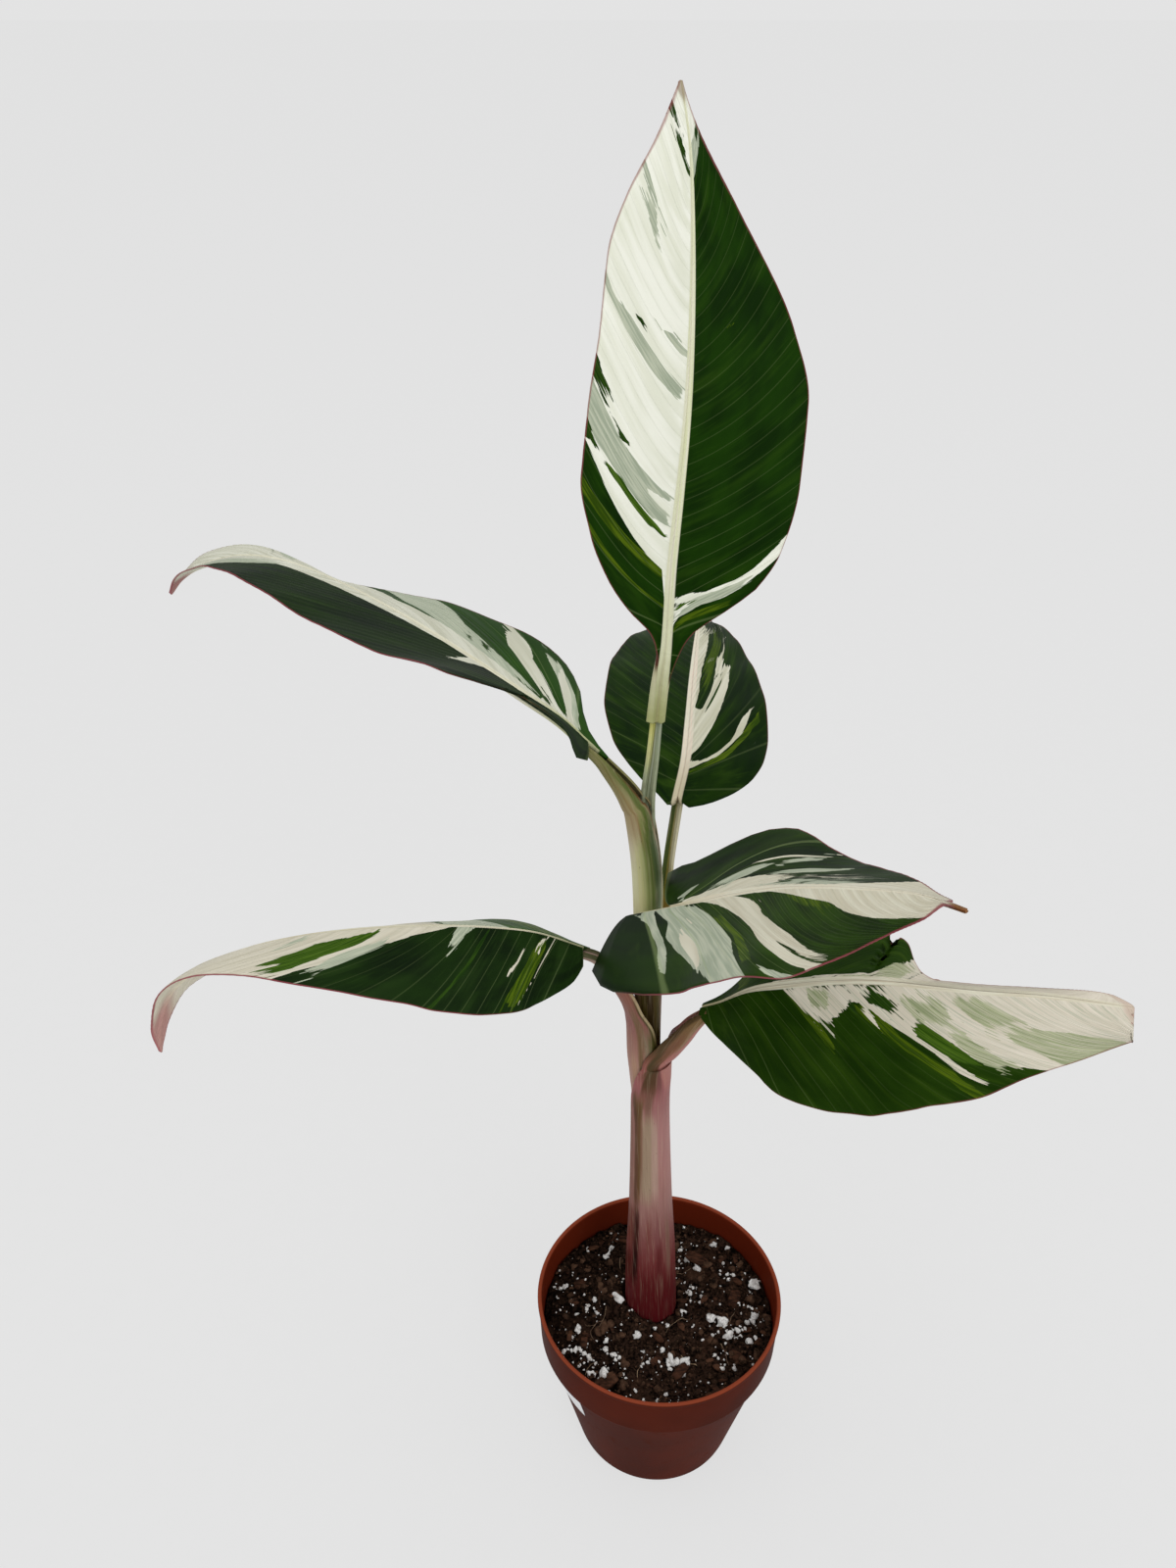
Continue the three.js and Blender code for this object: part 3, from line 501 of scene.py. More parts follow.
def bark_chip(bm, x, y, length, width, heading, rng):
    made = bmesh.ops.create_icosphere(bm, subdivisions=3 if length > 7 else 2, radius=1.0)
    seed = Vector((rng.uniform(0, 50), rng.uniform(0, 50), 0))
    thick = width * rng.uniform(0.22, 0.36)
    tilt = Euler((rng.uniform(-0.3, 0.3), rng.uniform(-0.2, 0.2), math.radians(heading))).to_matrix()
    for vert in made["verts"]:
        p = Vector([math.copysign(abs(c) ** 0.45, c) * 0.5 for c in vert.co])
        torn = 0.5 * abs(p.x) * noise.noise(Vector((p.y * 5, p.z * 3, math.copysign(2, p.x))) + seed)
        grain = 0.3 * noise.noise(Vector((p.x * 1.5, p.y * 7, p.z * 2)) + seed)
        narrow = 1 - 0.9 * abs(p.x) ** 3
        arch = 0.35 * math.cos(p.x * 3)
        shaped = Vector(((p.x + torn) * length, p.y * width * narrow, (p.z + grain + arch) * thick))
        vert.co = (tilt @ shaped + Vector((x, y, soil_height(x, y) + thick * 0.45))) * MM


bark_rng = random.Random(21)
bark_bm = bmesh.new()
for x, y, length, width, heading in BARK_PLACES:
    bark_chip(bark_bm, x, y, length, width, heading, bark_rng)
for x, y in soil_spots(46, 14, 46, bark_rng):
    length = bark_rng.uniform(3, 6.5)
    bark_chip(bark_bm, x, y, length, length * bark_rng.uniform(0.3, 0.6), bark_rng.uniform(0, 180), bark_rng)
bark_finish = Finish("bark_chip", Specular_IOR_Level=0.06)
bark_at = bark_finish.place()
bark_grain = bark_finish.noise(bark_finish.stretched(bark_at, (1, 3, 2)), 260.0, 5.0, 0.65)
bark_patch = bark_finish.noise(bark_at, 110.0, 2.0)
bark_colour = bark_finish.mix(bark_grain.step(0.32, 0.66), shade(24, 14, 10), shade(78, 50, 36))
bark_colour = bark_finish.mix(bark_patch.step(0.5, 0.7) * 0.5, bark_colour, shade(104, 72, 54))
bark_relief = bark_finish.bump(bark_grain, 0.0005)
bark_material = bark_finish.ends(Base_Color=bark_colour, Roughness=0.6 + bark_grain * 0.4, Normal=bark_relief)
bark = make_object("bark_chips", bark_bm, bark_material)
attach(bark, "root")

# Fibres
# A few short, pale coir threads lying loosely on the soil. Each is a thin bent tube.

FIBRE_COUNT = 12
FIBRE_STEPS = 12
FIBRE_SIDES = 5


def fibre(bm, x, y, rng):
    heading = rng.uniform(0, 6.3)
    bend = rng.uniform(-0.25, 0.25)
    reach = rng.uniform(6, 14) / FIBRE_STEPS
    radius = rng.uniform(0.1, 0.22)
    made = bmesh.ops.create_grid(bm, x_segments=FIBRE_STEPS, y_segments=FIBRE_SIDES, size=0.5)
    points = []
    for _ in range(FIBRE_STEPS + 1):
        points.append(Vector((x, y, soil_height(x, y) + 0.35 + radius)))
        heading += bend + rng.uniform(-0.15, 0.15)
        x += reach * math.cos(heading)
        y += reach * math.sin(heading)
    for vert in made["verts"]:
        place = round((vert.co.x + 0.5) * FIBRE_STEPS)
        turn = 2 * math.pi * round((vert.co.y + 0.5) * FIBRE_SIDES) / FIBRE_SIDES
        ahead = points[min(place + 1, FIBRE_STEPS)] - points[max(place - 1, 0)]
        side = ahead.cross(Vector((0, 0, 1))).normalized()
        thin = radius * (0.15 if place in (0, FIBRE_STEPS) else 1)
        vert.co = (points[place] + side * thin * math.cos(turn) + Vector((0, 0, thin * math.sin(turn)))) * MM


fibre_rng = random.Random(8)
fibre_bm = bmesh.new()
for x, y in soil_spots(FIBRE_COUNT, 18, 38, fibre_rng):
    fibre(fibre_bm, x, y, fibre_rng)
bmesh.ops.remove_doubles(fibre_bm, verts=fibre_bm.verts, dist=0.004 * MM)
bmesh.ops.holes_fill(fibre_bm, edges=[edge for edge in fibre_bm.edges if edge.is_boundary], sides=0)
bmesh.ops.recalc_face_normals(fibre_bm, faces=fibre_bm.faces)
fibre_finish = Finish("coir_fibre", Roughness=0.8)
fibre_tone = fibre_finish.noise(fibre_finish.place(), 160.0)
fibre_colour = fibre_finish.mix(fibre_tone.step(0.35, 0.65), shade(84, 60, 44), shade(160, 134, 104))
fibres = make_object("coir_fibres", fibre_bm, fibre_finish.ends(Base_Color=fibre_colour))
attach(fibres, "root")

# Corm
# The pale, fibrous underground stem that the sheaths grow from. The soil hides it.

corm_finish = Finish("corm_flesh", Roughness=0.75)
corm_at = corm_finish.place()
corm_rings = corm_finish.noise(corm_finish.stretched(corm_at, (1, 1, 6)), 160.0, 4.0)
corm_colour = corm_finish.mix(corm_rings.step(0.35, 0.65), shade(170, 148, 116), shade(206, 192, 164))
corm_material = corm_finish.ends(Base_Color=corm_colour, Normal=corm_finish.bump(corm_rings, 0.0004))
for material_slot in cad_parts["corm"].material_slots:
    material_slot.material = corm_material

# Leaves
# Six leaves, each one grown piece: a sheath rolled round the younger ones, a channelled leafstalk
# and a blade with a strong midrib and close parallel veins, drawn by the same few sizes.
# back: the way the sheath's back faces, in degrees. front: the way the blade's upper side faces.
# lobe: how round the vein sweep is at the foot. turn: the blade's roll. rib: the keel's depth.
# sheath: height, radius, wall and half wrap. route and petiole: the leafstalk's centres, and the same
# three sizes there. spine: points on the midrib. Each half has its width, fold, curl and vein sweep.
# look: colours, the midrib's half width in rib_half, the number of veins, and how strong each mark is:
# mixed cream and sage, a line in the rib, flush on the margin, vein lines and, from its place on, the tip.
# streaks: bands that run with the veins. Each is a colour and, from the midrib out (right half above
# nought, left half below), the shares of the blade's length where it starts and ends.

LEAVES = {
    "lower_right": {
        "back": -35, "front": (0, 0, 1), "lobe": 0.6, "turn": 0, "rib": [(0, 3.2), (1, 1.8)],
        "sheath": [(62, 12, 1.7, 126), (103, 11.2, 1.6, 124), (140, 9.5, 1.4, 120), (190, 8.3, 1.2, 118),
                   (206, 8.8, 1.2, 99), (219, 9.9, 1.4, 66)],
        "route": [(-1.8, 1.8, 226.7), (3, -4, 236.6), (6.9, -7.2, 245.3)],
        "petiole": [(6.6, 1.7, 98), (4.6, 1.9, 124), (3.6, 1.9, 134), (2.4, 1.9, 112)],
        "spine": [(9.9, -8, 253.9), (16, -10, 258), (25, -14, 267), (36, -18, 273), (52, -24, 280),
                  (66, -30, 285), (80, -36, 288), (94, -42, 291), (114, -48, 294), (138, -54.5, 295)],
        "left": {
            "width": [(-0.01, 1.5), (0.03, 3), (0.07, 6.5), (0.11, 13), (0.16, 19), (0.245, 25),
                      (0.36, 28.5), (0.43, 27.5), (0.452, 26), (0.462, 20), (0.471, 20.5), (0.478, 24.5),
                      (0.5, 22), (0.53, 12), (0.556, 6), (0.594, 3), (0.8, 3.4), (0.93, 5), (1, 3.5)],
            "fold": [(0, 0), (1, 0)], "curl": [(0, 0), (1, 0)],
            "sweep": [(0, 0), (0.245, 0.028), (0.53, 0.028), (0.81, 0), (1, -0.04)]},
        "right": {
            "width": [(-0.012, 2.5), (0, 6), (0.037, 14), (0.084, 23.5), (0.131, 30.5), (0.188, 36),
                      (0.264, 40.5), (0.358, 43.3), (0.45, 43.8), (0.53, 42), (0.62, 38), (0.707, 32),
                      (0.81, 25), (0.905, 18), (1, 11)],
            "fold": [(0, -40), (1, -40)], "curl": [(0, -10), (1, 0)],
            "sweep": [(0, -0.012), (0.06, -0.015), (0.245, 0.047), (0.53, 0.094), (0.81, 0.06), (1, 0.06)]},
        "look": {"tip": (0.97, 0.5, (196, 166, 152)), "mixed": 0.6,
                 "sage": ((140, 150, 112), (182, 186, 152)), "greens": ((22, 46, 2), (34, 60, 6)),
                 "warm": (58, 84, 16), "cream": (212, 204, 186), "pale": (224, 216, 200),
                 "rib_half": [(0, 0.4), (0.06, 0.6), (0.15, 1.3), (0.25, 2.0), (0.5, 1.9), (1, 0.8)],
                 "veins": 34, "rib": (206, 196, 172), "rib_foot": (160, 150, 104), "rib_line": 0.5,
                 "flush": 0.55, "line": 0.05, "shine": 0.03},
        "streaks": [
            ("lime", [(0.1, 0.243, 0.266), (0.35, 0.29, 0.314), (0.52, 0.318, 0.337)]),
            ("lime", [(0.2, 0.394, 0.451), (0.45, 0.47, 0.498), (0.75, 0.555, 0.583), (1, 0.602, 0.621)]),
            ("cream", [(0.04, 0.233, 0.451), (0.12, 0.252, 0.432), (0.2, 0.271, 0.394),
                       (0.33, 0.309, 0.342)]),
            ("cream", [(0.22, 0.413, 0.432), (0.41, 0.456, 0.46)]),
            ("cream", [(0.05, 0.422, 1), (0.15, 0.413, 1), (0.3, 0.46, 0.716), (0.45, 0.517, 0.621),
                       (0.6, 0.56, 0.579), (0.8, 0.602, 0.614), (0.93, 0.635, 0.645)]),
            ("cream", [(0.0, 0.479, 1), (0.35, 0.565, 1), (0.5, 0.602, 1), (0.7, 0.635, 1),
                       (0.85, 0.707, 1), (1, 0.773, 1)]),
            ("sage", [(0.5, 0.607, 0.64), (0.75, 0.645, 0.688), (0.82, 0.669, 0.716)]),
            ("sage", [(0.45, 0.716, 0.763), (0.6, 0.726, 0.849), (0.8, 0.773, 0.905), (1, 0.811, 0.934)]),
            ("sage", [(0.15, 0.508, 0.602), (0.33, 0.546, 0.621)]),
            ("sage", [(0.1, 0.621, 0.697), (0.4, 0.678, 0.773)]),
            ("sage", [(0.08, 0.29, 0.347), (0.22, 0.299, 0.337)]),
            ("green", [(0.1, 0.418, 0.46), (0.2, 0.441, 0.51), (0.24, 0.479, 0.51)]),
            ("green", [(0.15, 0.387, 0.396), (0.23, 0.389, 0.408)]),
            ("fresh", [(0.34, 0.531, 0.55), (0.45, 0.531, 0.583), (0.6, 0.574, 0.619),
                       (0.75, 0.621, 0.645)]),
            ("cream", [(-0.02, 0.101, 0.527), (-0.07, 0.167, 0.527), (-0.14, 0.432, 0.527),
                       (-0.3, 0.489, 0.527), (-1, 0.498, 0.527)]),
            ("sage", [(-0.05, 0.318, 0.508), (-0.12, 0.451, 0.508), (-0.7, 0.496, 0.517)]),
            ("white", [(0, 0.527, 1), (-1, 0.527, 1)]),
            ("lime", [(-0.2, 0.101, 0.129), (-1, 0.072, 0.101)]),
        ]},
    "lower_left": {
        "back": 200, "front": (0, 0, 1), "lobe": 0.6, "turn": 0, "rib": [(0, 3), (0.6, 1.6), (1, 0.4)],
        "sheath": [(62, 9.8, 1.5, 130), (103, 9.1, 1.4, 128), (140, 7.4, 1.1, 120), (190, 6.6, 1, 112),
                   (206, 7.3, 1.1, 106), (219, 8.2, 1.2, 96), (236, 8.6, 1.3, 78)],
        "route": [(-11.4, 4.6, 246.5), (-16.6, 1.5, 256), (-22.4, -1.4, 266), (-27.5, -3.8, 273.5)],
        "petiole": [(7.2, 1.5, 68), (5.2, 1.8, 84), (3.7, 2, 96), (2.9, 2, 100), (2.4, 1.9, 98)],
        "spine": [(-33, -5, 279), (-48, -6, 286), (-64, -8, 290), (-81, -10, 292.3), (-97, -12, 293.4),
                  (-113, -14, 293.5), (-130, -16, 292), (-146, -18, 288.8), (-162, -20, 282.8),
                  (-173, -21, 273), (-179, -22, 259), (-181, -22, 246)],
        "left": {
            "width": [(-0.012, 7), (0, 13), (0.03, 19.5), (0.06, 24), (0.1, 27.5), (0.15, 30), (0.22, 32),
                      (0.29, 31), (0.36, 28), (0.46, 25), (0.55, 22), (0.65, 17), (0.76, 11), (0.88, 6),
                      (1, 0.5)],
            "fold": [(0, -30), (0.3, -22), (0.47, -3), (0.6, 16), (0.7, 29), (0.78, 36), (1, 32)],
            "curl": [(0, -8), (1, -5)],
            "sweep": [(0, -0.012), (0.2, 0.05), (0.5, 0.1), (0.8, 0.08), (1, 0)]},
        "right": {
            "width": [(-0.02, 6), (0.06, 20), (0.15, 29), (0.3, 32), (0.5, 28), (0.7, 19), (0.85, 9),
                      (1, 0.5)],
            "fold": [(0, -26), (0.12, -27), (0.3, -33), (0.5, -38), (0.8, -40), (1, -30)],
            "curl": [(0, -10), (1, -10)],
            "sweep": [(0, -0.03), (0.2, 0.05), (0.5, 0.1), (0.8, 0.08), (1, 0)]},
        "look": {"tip": (0.8, 0.75, (176, 112, 112)), "mixed": 0.1, "greens": ((12, 28, 7), (22, 44, 9)),
                 "right_greens": ((34, 64, 14), (56, 90, 28)), "warm": (42, 66, 24),
                 "cream": (206, 200, 180), "pale": (218, 212, 194),
                 "rib_half": [(0, 0.5), (0.2, 0.7), (0.4, 1.0), (0.7, 1.0), (1, 0.3)], "veins": 40,
                 "rib": (210, 200, 170), "rib_foot": (120, 124, 70), "rib_line": 0.3, "flush": 0.9,
                 "line": 0.06, "shine": 0.05},
        "streaks": [
            ("lime", [(-0.1, 0.068, 0.085), (-0.4, 0.075, 0.1), (-0.9, 0.1, 0.135)]),
            ("cream", [(-0.02, 0.054, 0.058), (-0.3, 0.064, 0.067), (-0.6, 0.077, 0.079),
                       (-0.9, 0.102, 0.105)]),
            ("cream", [(-0.03, 0.07, 0.08), (-0.18, 0.081, 0.088)]),
            ("cream", [(-0.24, 0.111, 0.115), (-0.4, 0.118, 0.122), (-0.48, 0.124, 0.132),
                       (-0.56, 0.131, 0.136)]),
            ("green", [(-0.04, 0.187, 0.193), (-0.5, 0.209, 0.216), (-1, 0.245, 0.252)]),
            ("sage", [(-0.02, 0.215, 0.25), (-0.12, 0.235, 0.256), (-0.25, 0.243, 0.256)]),
            ("cream", [(0.0, 0.25, 1), (-0.08, 0.29, 1), (-0.15, 0.33, 1), (-0.3, 0.38, 1),
                       (-0.5, 0.405, 1), (-0.7, 0.455, 1), (-0.82, 0.48, 1), (-1, 0.5, 1)]),
            ("sage", [(-0.28, 0.375, 0.4), (-0.5, 0.405, 0.44), (-0.78, 0.442, 0.465)]),
            ("fresh", [(-0.08, 0.395, 0.405), (-0.2, 0.41, 0.46), (-0.3, 0.42, 0.5), (-0.55, 0.465, 0.525),
                       (-0.84, 0.495, 0.555)]),
            ("sage", [(-0.08, 0.52, 0.54), (-0.35, 0.55, 0.565)]),
            ("lime", [(0.1, 0.03, 0.09), (1, 0.06, 0.14)]),
            ("sage", [(0.0, 0.15, 0.28), (0.5, 0.17, 0.26), (1, 0.17, 0.205)]),
            ("cream", [(0, 0.28, 1), (0.6, 0.285, 1), (1, 0.29, 1)]),
            ("green", [(0.5, 0.372, 0.385), (0.8, 0.355, 0.375), (1, 0.34, 0.385)]),
            ("sage", [(0.35, 0.52, 0.55), (0.6, 0.53, 0.57), (1, 0.53, 0.56)]),
        ]},
    "front": {
        "back": -85, "front": (0, 0, 1), "lobe": 0.6, "turn": 42, "rib": [(0, 2.8), (0.6, 1.5), (1, 0.4)],
        "sheath": [(62, 7.9, 1.4, 135), (103, 7.3, 1.3, 135), (140, 5.9, 0.9, 130), (190, 4.5, 0.8, 120),
                   (220, 4.6, 0.9, 105), (240, 5.0, 1.0, 85), (258, 6.2, 1.2, 70)],
        "route": [(-5.5, -1.5, 277), (-5, -10, 293)],
        "petiole": [(4.4, 1.8, 80), (3.5, 2.0, 90), (3.0, 2.0, 95)],
        "spine": [(-3, -16, 305), (4, -24, 313), (13, -36, 325), (23, -53, 340), (31, -70, 353),
                  (40, -86, 364), (48, -100, 373), (53, -110, 378), (57, -116, 380)],
        "left": {
            "width": [(-0.13, 18.5), (-0.12, 20), (-0.1, 21), (-0.045, 21.5), (0.027, 24.5), (0.098, 29.8),
                      (0.15, 32.5), (0.22, 33.3), (0.3, 30.5), (0.38, 26.5), (0.52, 22.5), (0.65, 19.5),
                      (0.78, 14), (0.88, 8), (0.93, 5.5), (0.96, 0.9), (1, 0.5)],
            "fold": [(0, -19), (0.2, -22), (0.35, -35), (0.5, -45), (0.66, -51), (0.81, -62), (1, -66)],
            "curl": [(0, 0), (1, 0)], "sweep": [(0, -0.13), (0.2, 0.03), (0.5, 0.1), (0.8, 0.08), (1, 0)]},
        "right": {
            "lobe": 0.1,
            "width": [(-0.27, 20.5), (-0.235, 24.3), (-0.186, 28), (-0.164, 29), (-0.1, 30.5), (0.05, 33),
                      (0.2, 33.5), (0.35, 33), (0.5, 31), (0.62, 28.5), (0.72, 24), (0.82, 16),
                      (0.89, 10.5), (0.93, 6), (0.96, 0.9), (1, 0.5)],
            "fold": [(0, 3), (1, 0)], "curl": [(0, 0), (1, 0)],
            "sweep": [(0, -0.27), (0.2, -0.05), (0.5, 0.06), (0.8, 0.06), (1, 0)]},
        "look": {"tip": (0.95, 0.9, (134, 88, 44)), "mixed": 0.12, "greens": ((10, 27, 6), (22, 46, 4)),
                 "right_greens": ((22, 42, 5), (40, 66, 10)), "right_greens_from": (0.04, 0.24),
                 "warm": (54, 80, 18), "cream": (206, 200, 178), "pale": (222, 218, 198),
                 "rib_half": [(0, 0.4), (0.05, 0.7), (0.15, 1.3), (0.3, 1.6), (0.6, 1.2), (1, 0.3)],
                 "veins": 34, "rib": (222, 212, 188), "rib_foot": (206, 196, 160), "rib_line": 0.35,
                 "flush": 0.9, "line": 0.14, "shine": 0.06},
        "streaks": [
            ("sage", [(0.02, 0.0, 0.03), (0.2, 0.05, 0.062), (0.5, 0.1, 0.117), (0.7, 0.12, 0.145),
                      (0.92, 0.143, 0.162)]),
            ("sage", [(0.02, 0.03, 0.1), (0.2, 0.085, 0.19), (0.4, 0.105, 0.28), (0.55, 0.15, 0.345),
                      (0.7, 0.25, 0.37), (0.85, 0.28, 0.42), (1, 0.34, 0.47)]),
            ("sage", [(0.35, 0.11, 0.14), (0.55, 0.15, 0.2), (0.7, 0.2, 0.25), (0.85, 0.255, 0.262)]),
            ("white", [(0.35, 0.125, 0.145), (0.5, 0.155, 0.19), (0.7, 0.215, 0.245), (0.82, 0.25, 0.256)]),
            ("lime", [(0.25, 0.21, 0.25), (0.5, 0.34, 0.37), (0.8, 0.42, 0.47)]),
            ("cream", [(0.0, 0.1, 0.2), (0.1, 0.2, 0.33), (0.2, 0.27, 0.39), (0.3, 0.33, 0.42),
                       (0.4, 0.38, 0.45), (0.6, 0.46, 0.515), (0.8, 0.55, 0.6), (0.97, 0.63, 0.665)]),
            ("cream", [(0.25, 0.36, 0.39), (0.4, 0.42, 0.48), (0.55, 0.485, 0.56), (0.7, 0.575, 0.61),
                       (0.92, 0.65, 0.682)]),
            ("sage", [(0.88, 0.49, 0.5), (0.95, 0.51, 0.57), (1, 0.55, 0.6)]),
            ("lime", [(0.1, 0.48, 0.62), (0.25, 0.58, 0.66)]),
            ("cream", [(0, 0.2, 1), (0.05, 0.4, 1), (0.1, 0.5, 1), (0.2, 0.65, 1), (0.4, 0.72, 1),
                       (0.6, 0.79, 1), (0.8, 0.86, 1), (1, 0.9, 1)]),
            ("cream", [(0, 0.04, 1), (-0.1, 0.06, 1), (-0.17, 0.17, 0.38), (-0.36, 0.31, 0.39)]),
            ("sage", [(-0.1, 0.3, 0.66), (-0.2, 0.38, 0.66), (-0.34, 0.42, 0.64)]),
            ("white", [(0, 0.6, 1), (-0.2, 0.62, 1), (-0.4, 0.66, 1), (-1, 0.68, 1)]),
            ("green", [(-0.18, 0.37, 0.425), (-0.27, 0.35, 0.41)]),
            ("green", [(-0.12, 0.48, 0.5), (-0.17, 0.465, 0.49)]),
            ("sage", [(-0.2, 0.11, 0.19), (-0.3, 0.165, 0.225), (-0.52, 0.25, 0.262)]),
            ("sage", [(-0.37, 0.288, 0.305), (-0.5, 0.325, 0.385), (-0.65, 0.385, 0.42),
                      (-0.78, 0.43, 0.45)]),
            ("cream", [(-0.45, 0.195, 0.21), (-0.9, 0.34, 0.35)]),
            ("sage", [(-0.56, 0.27, 0.29), (-0.8, 0.32, 0.34)]),
            ("cream", [(-0.42, 0.4, 0.43), (-0.48, 0.41, 0.5), (-0.52, 0.46, 0.585)]),
            ("sage", [(-0.15, 0.03, 0.05), (-0.4, 0.075, 0.085)]),
        ]},
    "rear": {
        "back": 82, "front": (0, 0, 1), "lobe": 0.6, "turn": 0, "rib": [(0, 2.8), (0.6, 1.6), (1, 0.4)],
        "sheath": [(62, 6.1, 1.2, 130), (103, 5.6, 1.1, 130), (140, 4.7, 0.9, 125), (190, 3.4, 0.8, 115),
                   (220, 3.4, 0.8, 105), (245, 5.2, 1.0, 78), (262, 6.4, 1.2, 62)],
        "route": [(-3.4, 15, 284), (-1.6, 22, 298)],
        "petiole": [(2.8, 1.7, 84), (2.2, 1.7, 95), (2.2, 1.8, 95)],
        "spine": [(1.4, 32, 318), (5, 48, 323), (8, 72, 327), (11, 100, 329), (15, 135, 328),
                  (19, 170, 322), (22, 195, 313)],
        "left": {
            "width": [(-0.03, 3), (0, 8), (0.03, 14.5), (0.08, 21.5), (0.17, 28.5), (0.33, 34), (0.5, 34.5),
                      (0.7, 29), (0.85, 18), (0.95, 8), (1, 0.5)],
            "fold": [(0, 5), (1, 0)], "curl": [(0, -8), (1, -15)],
            "sweep": [(0, -0.03), (0.2, 0.05), (0.5, 0.1), (0.8, 0.1), (1, 0)]},
        "right": {
            "width": [(-0.035, 2.5), (-0.025, 7.5), (-0.01, 12.5), (0.01, 17), (0.03, 20.5), (0.07, 25.5),
                      (0.12, 28.5), (0.2, 29.8), (0.32, 29), (0.46, 26), (0.62, 20.5), (0.8, 13), (0.93, 6),
                      (1, 0.5)],
            "fold": [(0, 5), (1, 0)], "curl": [(0, -8), (1, -15)],
            "sweep": [(0, -0.03), (0.2, 0.05), (0.5, 0.1), (0.8, 0.1), (1, 0)]},
        "look": {"tip": (0.97, 0.4, (120, 100, 60)), "mixed": 0.15, "greens": ((12, 32, 7), (24, 48, 5)),
                 "warm": (56, 84, 20), "cream": (200, 198, 174), "pale": (222, 220, 200),
                 "rib_half": [(0, 1.9), (0.15, 2.0), (0.4, 1.7), (1, 0.4)], "veins": 30,
                 "rib": (238, 222, 204), "rib_foot": (190, 180, 146), "rib_line": 0.3, "flush": 0.5,
                 "line": 0.04, "shine": 0.03},
        "streaks": [
            ("lime", [(0.1, 0.063, 0.074), (0.5, 0.106, 0.124), (0.9, 0.21, 0.245)]),
            ("cream", [(0.02, 0.07, 0.1), (0.2, 0.09, 0.1), (0.4, 0.112, 0.124), (0.55, 0.145, 0.16),
                       (0.62, 0.165, 0.205), (0.7, 0.19, 0.235), (0.82, 0.25, 0.27)]),
            ("cream", [(0.78, 0.125, 0.13), (0.9, 0.165, 0.175)]),
            ("cream", [(0, 0.1, 0.3), (0.15, 0.14, 0.28), (0.3, 0.21, 0.365), (0.45, 0.31, 0.525),
                       (0.55, 0.37, 0.53), (0.6, 0.42, 0.47)]),
            ("green", [(0.2, 0.265, 0.285), (0.4, 0.36, 0.378), (0.52, 0.42, 0.435)]),
            ("green", [(0.34, 0.4, 0.41), (0.41, 0.42, 0.44)]),
            ("cream", [(0.5, 0.5, 0.53), (0.62, 0.55, 0.565), (0.72, 0.63, 0.65)]),
            ("lime", [(0.2, 0.35, 0.5), (0.4, 0.5, 0.6), (0.6, 0.6, 0.75)]),
            ("cream", [(0, 0.24, 1), (0.1, 0.34, 1), (0.15, 0.48, 1), (0.28, 0.6, 0.95), (0.38, 0.7, 0.76)]),
            ("cream", [(0, 0.78, 1), (0.5, 0.82, 0.97), (1, 0.85, 0.92)]),
        ]},
    "upper_left": {
        "back": 170, "front": (0, 0, 1), "lobe": 0.6, "turn": 0, "rib": [(0, 2.9), (0.6, 1.6), (1, 0.4)],
        "sheath": [(62, 4.6, 1.2, 140), (103, 4.2, 1.1, 140), (140, 3.5, 0.8, 140), (190, 2.4, 0.7, 140),
                   (220, 2.3, 0.7, 140), (245, 3.9, 0.9, 150), (262, 4.9, 1, 160), (300, 5.5, 1.1, 165)],
        "route": [(-13.1, 6.6, 325.3), (-15.6, 6.2, 331.6), (-18.8, 5.7, 337.6), (-23.2, 5.4, 344.0),
                  (-27.2, 6, 348.8)],
        "petiole": [(5.2, 1.3, 158), (4.6, 1.5, 154), (3.9, 1.6, 150), (3.1, 1.7, 146), (2.5, 1.7, 138),
                    (2.2, 1.7, 112)],
        "spine": [(-31.5, 8.8, 354.2), (-40, 14, 360), (-54, 22, 366), (-72, 34, 373), (-94, 48, 381),
                  (-117, 62, 387), (-138, 74, 390), (-157, 84, 388), (-174, 90, 382), (-183, 93, 376),
                  (-189, 95, 369)],
        "left": {
            "width": [(-0.0309, 7), (-0.015, 11), (0, 10), (0.02, 6.6), (0.045, 4.6), (0.09, 3.8),
                      (0.13, 4.5), (0.155, 8.5), (0.178, 13.5), (0.2, 18.5), (0.23, 24.5), (0.28, 28),
                      (0.34, 29.5), (0.4032, 29.5), (0.5884, 27), (0.7428, 20), (0.8662, 11), (1.0, 0.5)],
            "fold": [(0, 5), (0.0225, 20), (0.0739, 25), (0.1562, 24), (0.2488, 14), (0.3826, 8),
                     (0.5884, 9), (0.7942, 12), (1, 16)],
            "curl": [(0, -10), (1, -8)],
            "sweep": [(0, -0.0309), (0.1768, 0.0823), (0.4855, 0.1235), (0.7942, 0.0823), (1, 0.0)]},
        "right": {
            "width": [(-0.05, 0.8), (-0.02, 2.2), (0.007, 4.3), (0.032, 7.8), (0.06, 15.4), (0.093, 23.3),
                      (0.144, 29), (0.198, 30.5), (0.28, 31.5), (0.36, 33), (0.43, 33), (0.537, 29.5),
                      (0.6913, 23), (0.7942, 18), (0.8971, 11), (1.0, 0.5)],
            "fold": [(0, 2), (0.1254, -1), (0.2797, -12), (0.4032, -21), (0.4855, -28), (0.5678, -31),
                     (0.6399, -22), (0.7736, 7), (0.8765, 18), (1, 18)],
            "curl": [(0, -6), (1, -6)],
            "sweep": [(0, -0.05), (0.1768, 0.0823), (0.4855, 0.1235), (0.7942, 0.0823), (1, 0.0)]},
        "look": {"tip": (0.9, 0.8, (150, 84, 88)), "mixed": 0.15, "greens": ((14, 28, 14), (24, 42, 14)),
                 "right_greens": ((26, 58, 6), (38, 74, 14)), "warm": (44, 66, 24),
